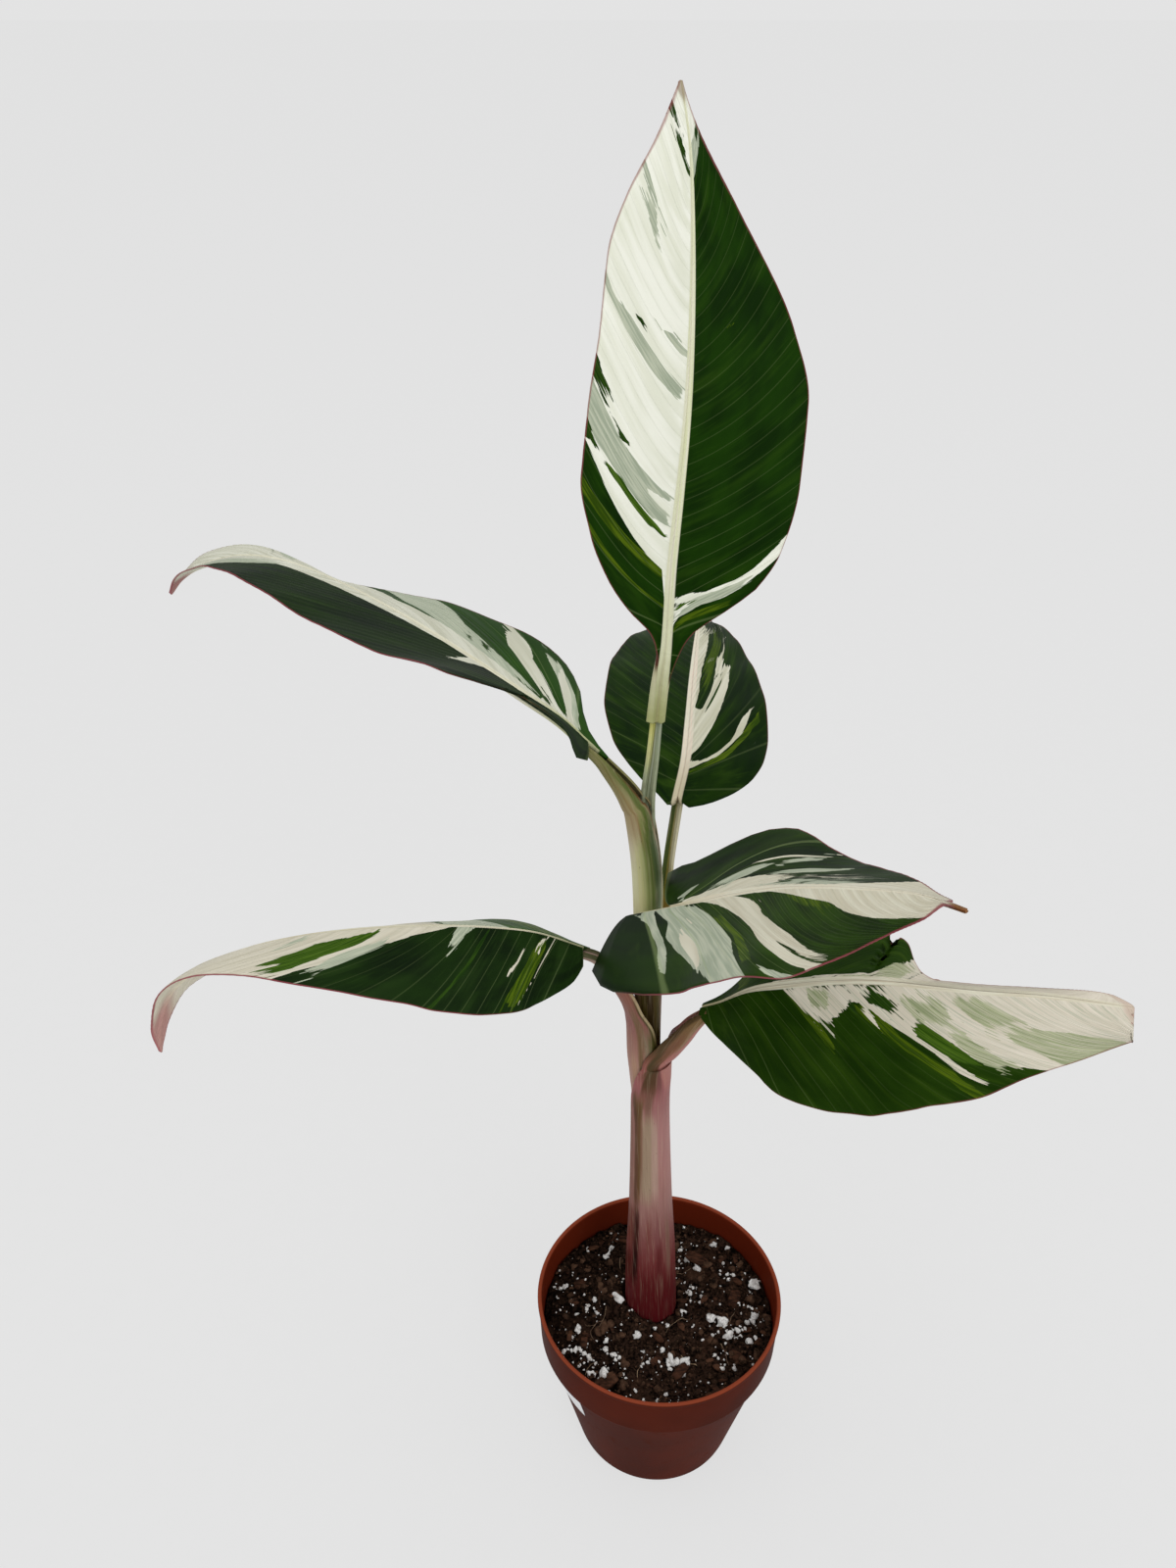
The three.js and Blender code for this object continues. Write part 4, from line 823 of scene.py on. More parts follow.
                 "cream": (200, 200, 180), "pale": (220, 220, 204),
                 "rib_half": [(0, 0.4), (0.04, 0.7), (0.12, 1.3), (0.3, 1.5), (1, 0.3)], "veins": 44,
                 "rib": (214, 210, 184), "rib_foot": (170, 176, 120), "rib_line": 0.15, "flush": 0.8,
                 "line": 0.06, "shine": 0.08},
        "streaks": [
            ("sage", [(0.1, 0.025, 0.035), (0.4, 0.033, 0.064), (0.7, 0.043, 0.11), (0.92, 0.115, 0.151)]),
            ("white", [(0.08, 0.031, 0.048), (0.3, 0.043, 0.062), (0.6, 0.064, 0.095), (0.86, 0.092, 0.11)]),
            ("cream", [(0, 0, 0.105), (0.15, 0.069, 0.1), (0.4, 0.11, 0.156), (0.6, 0.146, 0.197),
                       (0.95, 0.167, 0.213)]),
            ("green", [(0.06, 0.082, 0.095), (0.15, 0.089, 0.11)]),
            ("sage", [(0.1, 0.105, 0.136), (0.2, 0.141, 0.238), (0.35, 0.218, 0.341), (0.6, 0.29, 0.413),
                      (0.8, 0.311, 0.424), (1, 0.341, 0.434)]),
            ("green", [(0.34, 0.23, 0.249), (0.42, 0.228, 0.254)]),
            ("green", [(0.33, 0.269, 0.28), (0.45, 0.273, 0.292)]),
            ("cream", [(0, 0.074, 1), (0.1, 0.125, 1), (0.2, 0.228, 1), (0.4, 0.372, 1), (0.55, 0.434, 1),
                       (0.8, 0.455, 1), (1, 0.475, 1)]),
            ("sage", [(0.2, 0.671, 0.696), (0.5, 0.66, 0.702), (1, 0.619, 0.681)]),
            ("green", [(0.2, 0.72, 0.726), (0.9, 0.704, 0.712)]),
            ("cream", [(0, 0.218, 1), (-0.1, 0.383, 1), (-0.2, 0.547, 1), (-0.3, 0.671, 1),
                       (-0.6, 0.733, 1), (-1, 0.794, 1)]),
            ("cream", [(0, 0.203, 0.249), (-0.1, 0.228, 0.254), (-0.26, 0.247, 0.256)]),
            ("sage", [(-0.28, 0.66, 0.712), (-0.6, 0.681, 0.763), (-1, 0.733, 0.815)]),
            ("lime", [(-0.4, 0.753, 0.784), (-1, 0.784, 0.835)]),
        ]},
    "top": {
        "back": 90, "front": (0, -1, 0.2), "lobe": 0.6, "turn": 0, "rib": [(0, 2.8), (0.6, 1.5), (1, 0.4)],
        "sheath": [(62, 3, 1.9, 130), (103, 2.7, 1.8, 130), (140, 2.3, 1.6, 130), (190, 1.35, 1, 130),
                   (220, 1.3, 1, 130), (245, 2.5, 1.6, 120), (262, 3.3, 1.9, 115), (300, 3.3, 2, 112),
                   (330, 2.7, 2, 106)],
        "route": [(-9.4, 7.8, 348)],
        "petiole": [(2.3, 1.8, 104), (2.1, 1.8, 100)],
        "spine": [(-8.4, 9, 360), (-7.3, 11, 374), (-6, 13, 387), (-5, 17, 410), (-3, 23, 431),
                  (-1, 31, 453), (0, 40, 475), (0, 49, 500), (-1, 57, 522), (-4, 63, 540)],
        "left": {
            "width": [(0, 1.5), (0.06, 1.9), (0.105, 2.4), (0.135, 3.6), (0.1616, 6), (0.2043, 14),
                      (0.2557, 22), (0.3156, 29), (0.4011, 34), (0.5038, 33.5), (0.615, 31), (0.7433, 28.5),
                      (0.8289, 22), (0.9144, 12), (1.0, 0.5)],
            "fold": [(0, 48), (0.1, 34), (0.16, 25), (1, 35)], "curl": [(0, 8), (1, -8)],
            "sweep": [(0, 0), (0.145, -0.017), (0.316, 0.103), (0.573, 0.145), (0.829, 0.103), (1, 0)]},
        "right": {
            "width": [(0, 1.5), (0.06, 2.3), (0.105, 3.6), (0.135, 5.2), (0.1616, 8), (0.2043, 18),
                      (0.2471, 27), (0.3156, 33), (0.4182, 36), (0.538, 36), (0.6407, 31), (0.7604, 20),
                      (0.8717, 10), (0.9401, 4), (1.0, 0.5)],
            "fold": [(0, 42), (0.1, 28), (0.16, 15), (0.573, 5), (0.744, -12), (0.872, -38), (1, -50)],
            "curl": [(0, -10), (1, -10)],
            "sweep": [(0, 0), (0.145, -0.017), (0.316, 0.051), (0.573, 0.086), (0.829, 0.068), (1, 0)]},
        "look": {"tip": (0.96, 0.6, (120, 84, 50)), "mixed": 0.0, "greens": ((12, 36, 2), (22, 52, 3)),
                 "warm": (44, 74, 12), "cream": (228, 230, 212), "pale": (242, 243, 230),
                 "rib_half": [(0, 3.7), (0.06, 3.2), (0.11, 2.5), (0.16, 2.0), (0.3, 1.8), (1, 0.4)],
                 "veins": 36, "rib": (214, 218, 178), "rib_foot": (138, 142, 54), "rib_line": 0.15,
                 "flush": 0.6, "line": 0.08, "shine": 0.03},
        "streaks": [
            ("lime", [(0.25, 0.162, 0.187), (0.5, 0.187, 0.204), (0.9, 0.209, 0.222)]),
            ("cream", [(0.12, 0.162, 0.222), (0.2, 0.17, 0.226), (0.3, 0.198, 0.23), (0.5, 0.213, 0.235),
                       (0.7, 0.222, 0.248), (0.8, 0.234, 0.261), (1, 0.273, 0.298)]),
            ("sage", [(0.26, 0.183, 0.216), (0.5, 0.212, 0.229), (0.7, 0.222, 0.24), (0.85, 0.239, 0.254)]),
            ("fresh", [(0.16, 0.2, 0.213), (0.3, 0.209, 0.217)]),
            ("lime", [(0.35, 0.622, 0.626), (0.55, 0.617, 0.622)]),
            ("sage", [(0, 0.855, 0.91), (0.4, 0.87, 0.908), (0.8, 0.872, 0.902)]),
            ("cream", [(0, 0.906, 1), (0.6, 0.902, 1), (1, 0.897, 1)]),
            ("lime", [(-0.12, 0.204, 0.21), (-0.5, 0.223, 0.23), (-1, 0.256, 0.266)]),
            ("lime", [(-0.1, 0.251, 0.27), (-0.5, 0.269, 0.286), (-0.97, 0.288, 0.304)]),
            ("cream", [(0, 0, 1), (-0.06, 0.162, 1), (-0.1, 0.264, 1), (-0.3, 0.281, 1), (-0.6, 0.305, 1),
                       (-0.8, 0.326, 1), (-1, 0.344, 1)]),
            ("fresh", [(-0.1, 0.315, 0.321), (-0.3, 0.321, 0.334), (-0.6, 0.338, 0.35),
                       (-0.75, 0.343, 0.35)]),
            ("sage", [(-0.06, 0.333, 0.352), (-0.3, 0.337, 0.363), (-0.6, 0.35, 0.393),
                      (-0.9, 0.358, 0.411), (-1, 0.365, 0.418)]),
            ("sage", [(-0.1, 0.371, 0.38), (-0.4, 0.369, 0.389), (-0.6, 0.376, 0.394)]),
            ("green", [(-0.9, 0.35, 0.358), (-1, 0.346, 0.371)]),
            ("green", [(-0.56, 0.399, 0.404), (-0.72, 0.39, 0.405)]),
            ("green", [(-0.9, 0.418, 0.441), (-0.98, 0.422, 0.453)]),
            ("sage", [(-0.08, 0.529, 0.547), (-0.4, 0.529, 0.557), (-0.7, 0.536, 0.565),
                      (-0.9, 0.545, 0.559), (-1, 0.555, 0.572)]),
            ("sage", [(-0.08, 0.596, 0.617), (-0.22, 0.6, 0.616), (-0.34, 0.601, 0.607)]),
            ("green", [(-0.57, 0.576, 0.585), (-0.66, 0.572, 0.579)]),
            ("sage", [(-0.58, 0.701, 0.716), (-0.7, 0.713, 0.743), (-0.8, 0.722, 0.743)]),
            ("sage", [(-0.68, 0.733, 0.748), (-0.97, 0.754, 0.766)]),
            ("green", [(-0.24, 0.859, 0.877), (-0.5, 0.865, 0.892), (-0.72, 0.867, 0.884)]),
            ("green", [(-0.7, 0.893, 0.908), (-1, 0.88, 0.919)]),
        ]},
}

BLADE_THICKNESS = 0.8
BLADE_ROWS = 250
BLADE_HALF_COLUMNS = 30
ROW_CROWDING = 0.35
COLUMN_CROWDING = 1.25
KEEL_REACH = 0.6
GROOVE_DEPTH = 0.55
GROOVE_LIP = 0.36
GROOVE_LIP_WIDTH = 0.8
VEIN_HEIGHT = 0.035
RIPPLE = 1.8
BRIM_DROP = 2.4
CURVE_STEPS = 400


def profile(stops, place):
    """Smooth value through (place, value) stops, with no overshoot."""
    place = min(max(place, stops[0][0]), stops[-1][0])
    slopes = [(b[1] - a[1]) / (b[0] - a[0]) for a, b in zip(stops, stops[1:])]

    def tangent(i):
        if i == 0:
            return slopes[0]
        if i == len(slopes):
            return slopes[-1]
        a, b = slopes[i - 1], slopes[i]
        return 0 if a * b <= 0 else 2 * a * b / (a + b)

    i = 0
    while i < len(slopes) - 1 and place > stops[i + 1][0]:
        i += 1
    h = stops[i + 1][0] - stops[i][0]
    s = (place - stops[i][0]) / h
    value = (2 * s**3 - 3 * s**2 + 1) * stops[i][1] + (s**3 - 2 * s**2 + s) * h * tangent(i)
    return value + (3 * s**2 - 2 * s**3) * stops[i + 1][1] + (s**3 - s**2) * h * tangent(i + 1)


def curve_point(points, share):
    """A point on the smooth curve through the points, by share of their count."""
    last = len(points) - 1
    i = min(int(share * last), last - 1)
    f = share * last - i
    p1, p2 = points[i], points[i + 1]
    p0 = points[i - 1] if i > 0 else 2 * p1 - p2
    p3 = points[i + 2] if i + 2 <= last else 2 * p2 - p1
    return 0.5 * (2 * p1 + (p2 - p0) * f + (2 * p0 - 5 * p1 + 4 * p2 - p3) * f**2
                  + (3 * p1 - p0 - 3 * p2 + p3) * f**3)


class Midrib:
    """A leaf's midrib: its points, directions and sides by share of its length."""

    def __init__(self, leaf):
        self.leaf = leaf
        points = [Vector(p) for p in leaf["spine"]]
        self.points = [curve_point(points, i / CURVE_STEPS) for i in range(CURVE_STEPS + 1)]
        self.lengths = [0.0]
        for a, b in zip(self.points, self.points[1:]):
            self.lengths.append(self.lengths[-1] + (b - a).length)
        self.length = self.lengths[-1]
        self.known = {}

    def at(self, u):
        key = round(u, 5)
        if key not in self.known:
            self.known[key] = self.measure(u)
        return self.known[key]

    def measure(self, u):
        inside = min(max(u, 0), 1) * self.length
        low, high = 0, CURVE_STEPS
        while high - low > 1:
            middle = (low + high) // 2
            low, high = (middle, high) if self.lengths[middle] <= inside else (low, middle)
        f = (inside - self.lengths[low]) / (self.lengths[high] - self.lengths[low])
        point = self.points[low].lerp(self.points[high], f)
        ways = []
        for near in (low, high):
            before = self.points[max(near - 2, 0)]
            after = self.points[min(near + 2, CURVE_STEPS)]
            ways.append((after - before).normalized())
        along = ways[0].lerp(ways[1], f).normalized()
        if u < 0:
            point = point + along * u * self.length
        front = Vector(self.leaf["front"])
        up = (front - along * front.dot(along)).normalized()
        side = along.cross(up)
        turn = math.radians(self.leaf["turn"])
        upward = up * math.cos(turn) + side * math.sin(turn)
        sideways = side * math.cos(turn) - up * math.sin(turn)
        return point, along, upward, sideways


def blade_point(leaf, midrib, t, v, seed):
    """The blade's upper surface: t runs along the midrib and v from -1 to 1 across, on one vein."""
    half = leaf["left"] if v < 0 else leaf["right"]
    out = abs(v)
    sweep = profile(half["sweep"], t)
    lobe = half.get("lobe", leaf["lobe"])
    bend = lobe + (1.5 - lobe) * min(t / 0.3, 1)
    u = t + sweep * out**bend if out > 0 else t
    point, along, upward, sideways = midrib.at(u)
    width = profile(half["width"], t + sweep)
    fold = math.radians(profile(half["fold"], t))
    curl = math.radians(profile(half["curl"], t)) or 1e-4
    across = width / curl * (math.sin(fold + curl * out) - math.sin(fold))
    rise = width / curl * (math.cos(fold) - math.cos(fold + curl * out))
    ripple = noise.noise(Vector((t * 9 + seed, (v > 0) * 7.0, 0))) * min(width / 30, 1) * out**2.2 * RIPPLE
    return point + sideways * math.copysign(across, v) + upward * (rise + ripple), width


LAYERS = ("lime", "cream", "sage", "green", "fresh", "white")
END_SOFTNESS = 0.2
SIDE_CRISPNESS = 1.5
THIN_STREAK = 1.4
SAGE = ((160, 170, 148), (188, 194, 172))


def streak_field(stations, t, v, length, width):
    """Millimetres inside the streak, or below nought outside it. Its ends across the blade are softer."""
    stations = sorted(stations)
    low, high = stations[0][0], stations[-1][0]
    held = min(max(v, low), high)
    i = 0
    while i < len(stations) - 2 and held > stations[i + 1][0]:
        i += 1
    a, b = stations[i], stations[i + 1]
    f = (held - a[0]) / (b[0] - a[0])
    start = a[1] + (b[1] - a[1]) * f
    end = a[2] + (b[2] - a[2]) * f
    crisp = SIDE_CRISPNESS * max(1, THIN_STREAK / max((end - start) * length / 2, 0.15))
    reaches = [(t - start) * length * crisp if start > 0 else 9, (end - t) * length * crisp if end < 1 else 9]
    if low > -0.97 and low != 0:
        reaches.append((v - low) * width * END_SOFTNESS)
    if high < 0.97 and high != 0:
        reaches.append((high - v) * width * END_SOFTNESS)
    return max(min(reaches), -6)


def blade_material(name, look):
    """Leaf skin: green with lime, sage and cream sectors that end on the veins, and a pale midrib."""
    skin = Finish(name, Specular_IOR_Level=look["shine"])
    uv = skin.node("UVMap", {"uv_map": "veins"})
    along = skin.node("Attribute", {"attribute_name": "vein"}).part("Fac")
    share, across = [skin.node("SeparateXYZ", {}, uv).part(axis) for axis in "XY"]
    middle = skin.node("Attribute", {"attribute_name": "off_midrib"}).part("Fac")
    margin = skin.node("Attribute", {"attribute_name": "off_margin"}).part("Fac")
    strip = skin.node("CombineXYZ", {}, along, across, 0.0)

    def per_vein(count, slide, seed):
        """Noise that is one value across each vein strip and changes slowly along it."""
        order = (along * count + seed).maths("FLOOR") * 7.31
        return skin.noise(skin.node("CombineXYZ", {}, order, across * slide, seed), 1.0, 1.0)

    torn = (per_vein(230.0, 3.0, 3.0) - 0.5) * 1.8 + (per_vein(84.0, 3.0, 8.0) - 0.5) * 3.2
    torn = torn + per_vein(400.0, 1.6, 5.0).step(0.6, 0.68) * 1.6
    threads = skin.noise(skin.stretched(strip, (240.0, 3.0, 1.0)), 1.0, 2.0)
    clouds = skin.noise(skin.stretched(strip, (12.0, 2.2, 1.0)), 1.0, 3.0)
    bands = skin.noise(skin.stretched(strip, (34.0, 1.2, 1.0)), 1.0, 2.0)

    # The lighter greens of the clouds are partly the leaf's own mottling and partly painted sheen.
    left_green, right_green = [
        skin.mix(clouds.step(0.34, 0.66), shade(*dark), shade(*light))
        for dark, light in (look["greens"], look.get("right_greens", look["greens"]))]
    right_half = across.step(-0.02, 0.02) * share.step(*look.get("right_greens_from", (-2, -1)))
    colour = skin.mix(right_half, left_green, right_green)
    colour = skin.mix(bands.step(0.5, 0.72) * 0.4, colour, shade(*look["warm"]))
    colour = skin.mix(threads.step(0.52, 0.8) * 0.3, colour, shade(*look["warm"]))
    cream = skin.mix(bands.step(0.36, 0.64), shade(*look["cream"]), shade(*look["pale"]))
    fine = skin.noise(skin.stretched(strip, (330.0, 2.0, 1.0)), 1.0, 2.0).step(0.5, 0.62)
    sage = skin.mix(threads.step(0.4, 0.62), *[shade(*tone) for tone in look.get("sage", SAGE)])
    tones = {
        "lime": skin.mix(threads.step(0.4, 0.62), shade(44, 68, 6), shade(80, 102, 14)),
        "cream": skin.mix(fine * look["mixed"], cream, shade(164, 172, 148)),
        "sage": skin.mix(fine * look["mixed"], sage, cream),
        "green": skin.mix(threads.step(0.4, 0.62), shade(24, 50, 8), shade(46, 74, 16)),
        "fresh": skin.mix(threads.step(0.4, 0.62), shade(44, 74, 10), shade(74, 104, 28)),
        "white": cream,
    }
    for layer in LAYERS:
        field = skin.node("Attribute", {"attribute_name": layer}).part("Fac")
        edge = (field + torn * (0.35 if layer == "lime" else 0.6)).step(-0.1, 0.1)
        colour = skin.mix(edge, colour, tones[layer])
    vein_count = look["veins"]
    wave = (along * vein_count).maths("FRACT")
    line = 1 - (wave - 0.5).maths("ABSOLUTE").step(0.01, 0.045)
    near_foot = 1 + (1 - share.step(0.1, 0.4)) * 1.4
    colour = skin.mix(line * near_foot * look["line"], colour, shade(150, 170, 110))
    rib = 1 - middle.step(0.8, 1.02)
    grain = skin.noise(skin.stretched(uv, (5.0, 60.0, 1.0)), 1.0)
    rib_colour = skin.mix(grain.step(0.35, 0.65), shade(*look["rib"]), shade(228, 226, 206))
    rib_colour = skin.mix((1 - share.step(0.0, 0.16)) * 0.7, rib_colour, shade(*look["rib_foot"]))
    rib_colour = skin.mix((1 - middle.step(0.05, 0.16)) * look["rib_line"], rib_colour, shade(132, 96, 74))
    colour = skin.mix(rib, colour, rib_colour)
    flushed = (1 - (margin + (clouds - 0.5) * 0.4).step(0.1, 0.42)) * share.step(0.04, 0.2)
    colour = skin.mix(flushed * look["flush"], colour, shade(146, 72, 80))
    start, strength, tint = look["tip"]
    colour = skin.mix(share.step(start, 0.5 + start / 2) * strength, colour, shade(*tint))

    folds = (along * 2 * math.pi * vein_count).maths("SINE")
    relief = skin.bump(folds * 0.35 + threads * 0.5 + line * 0.3, 0.00018)
    return skin.ends(Base_Color=colour, Roughness=0.4 + clouds * 0.14 + threads * 0.08, Normal=relief)


# How far a vein gains on the midrib, in shares of the blade's length, on its way to the margin.

VEIN_SLANTS = {
    "lower_right": {"left": [(0, 0), (0.101, 0.142), (0.432, 0.284), (1, 0)],
                    "right": [(0, 0), (0.129, 0.17), (0.337, 0.256), (0.574, 0.284), (0.811, 0.151),
                              (1, 0)]},
    "lower_left": {"left": [(0, 0), (0.05, 0.04), (0.18, 0.05), (0.32, 0.17), (0.5, 0.14), (1, 0)],
                   "right": [(0, 0), (0.2, 0.05), (0.5, 0.1), (1, 0)]},
    "front": {"left": [(0, 0), (0.04, 0.3), (0.2, 0.4), (0.5, 0.3), (1, 0)],
              "right": [(0, 0), (0.02, 0.2), (0.08, 0.4), (0.18, 0.5), (0.4, 0.38), (0.7, 0.18), (1, 0)]},
    "rear": {"left": [(0, 0), (0.1, 0.12), (0.5, 0.2), (1, 0)],
             "right": [(0, 0), (0.05, 0.1), (0.12, 0.4), (0.25, 0.56), (0.5, 0.36), (1, 0)]},
    "upper_left": {"left": [(0, 0), (0.074, 0.165), (0.485, 0.247), (1, 0)],
                   "right": [(0, 0), (0.03, 0.144), (0.095, 0.268), (0.383, 0.247), (1, 0)]},
    "top": {"left": [(0, 0), (0.14, 0.01), (0.197, 0.06), (0.573, 0.043), (1, 0)],
            "right": [(0, 0), (0.14, 0.02), (0.172, 0.094), (0.316, 0.068), (0.658, 0.06), (1, 0)]},
}


def on_vein(name, row_share, v):
    """Where the vein that leaves the midrib at this row stands when it is v of the way to the margin."""
    root = ROW_CROWDING * row_share**2 + (1 - ROW_CROWDING) * row_share
    slant = profile(VEIN_SLANTS[name]["left" if v < 0 else "right"], root)
    return root, root + slant * abs(v)


def make_blade(name, leaf, seed):
    midrib = Midrib(leaf)
    columns = 2 * BLADE_HALF_COLUMNS
    bm = bmesh.new()
    tops = bmesh.ops.create_grid(bm, x_segments=BLADE_ROWS, y_segments=columns, size=0.5)["verts"]
    places = {}
    spots = []
    roots = []
    widths = []
    for vert in tops:
        side = vert.co.y * 2
        v = math.copysign(abs(side) ** COLUMN_CROWDING, side)
        row = round((vert.co.x + 0.5) * BLADE_ROWS)
        root, t = on_vein(name, row / BLADE_ROWS, v)
        column = round((side + 1) * BLADE_HALF_COLUMNS)
        places[row, column] = len(spots)
        point, width = blade_point(leaf, midrib, t, v, seed)
        roots.append(root)
        spots.append([t, v, point, row, column])
        widths.append(width)
    normals = []
    for t, v, point, row, column in spots:
        ahead = spots[places[min(row + 1, BLADE_ROWS), column]][2] - spots[places[max(row - 1, 0), column]][2]
        beside = spots[places[row, min(column + 1, columns)]][2] - spots[places[row, max(column - 1, 0)]][2]
        normals.append(beside.cross(ahead).normalized())
    bottoms = bmesh.ops.create_grid(bm, x_segments=BLADE_ROWS, y_segments=columns, size=0.5)["verts"]
    uv_of = []
    marks = {key: [] for key in (*LAYERS, "vein", "off_midrib", "off_margin")}
    for upper, lower, spot, root, width, normal in zip(tops, bottoms, spots, roots, widths, normals):
        t, v, point, row, column = spot
        rib_half = profile(leaf["look"]["rib_half"], t)
        off = abs(v) * width
        near = max(0, 1 - (off / (rib_half + KEEL_REACH)) ** 2)
        keel = profile(leaf["rib"], t) * near**1.2
        lip = GROOVE_LIP * max(0, 1 - ((off - rib_half) / GROOVE_LIP_WIDTH) ** 2)
        groove = GROOVE_DEPTH * (1 - t * 0.7) * (max(0, 1 - (off / rib_half) ** 2) - lip)
        corrugation = VEIN_HEIGHT * math.sin(root * 2 * math.pi * leaf["look"]["veins"]) * min(1, off / 4)
        upper.co = (point + normal * (corrugation - groove)) * MM
        thickness = BLADE_THICKNESS * (0.45 + 0.55 * min(1, (1 - abs(v)) * 8))
        lower.co = (point - normal * (thickness + keel - corrugation)) * MM
        uv_of.append((t, v))
        field = dict.fromkeys(LAYERS, -6.0)
        for layer, stations in leaf["streaks"]:
            outer = stations[-1][0] if stations[-1][0] else stations[0][0]
            if v * outer > 0 or (v == 0 and stations[0][0] == 0):
                field[layer] = max(field[layer], streak_field(stations, t, v, midrib.length, width))
        for layer in LAYERS:
            marks[layer].append(field[layer])
        marks["vein"].append(root + (0.5 / leaf["look"]["veins"] if v < 0 else 0))
        marks["off_midrib"].append(off / rib_half)
        half = leaf["left"] if v < 0 else leaf["right"]
        rim = (1 - abs(v)) * width
        marks["off_margin"].append(min(rim, (1 - t) * midrib.length if width > 5 and t > 0.9 else rim))
    bm.verts.index_update()
    count = len(tops)
    under = [face for face in bm.faces if face.verts[0].index >= count]
    bmesh.ops.reverse_faces(bm, faces=under)
    rims = [edge for edge in bm.edges if edge.is_boundary]
    bmesh.ops.bridge_loops(bm, edges=rims)
    bmesh.ops.recalc_face_normals(bm, faces=bm.faces)
    layer = bm.loops.layers.uv.new("veins")
    for face in bm.faces:
        for loop in face.loops:
            loop[layer].uv = uv_of[loop.vert.index % count]
    finish = blade_material(name + "_skin", leaf["look"])
    blade = make_object(name + "_leaf_blade", bm, finish)
    for key, values in marks.items():
        attribute = blade.data.attributes.new(key, "FLOAT", "POINT")
        attribute.data.foreach_set("value", values + values)
    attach(blade, "root")
    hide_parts(name + "_blade")
    return midrib


# Sheaths and leafstalks
# Crisp, watery tissue, satin on the outside, striped with the blade's colours and flushed crimson
# low down. The sheaths' free margins dry brown.
# base: colours by height in millimetres. stripes: a colour and, for heights from the foot up, how far
# round the sheath the stripe starts and ends (-1 and 1 are the sheath's two free margins).

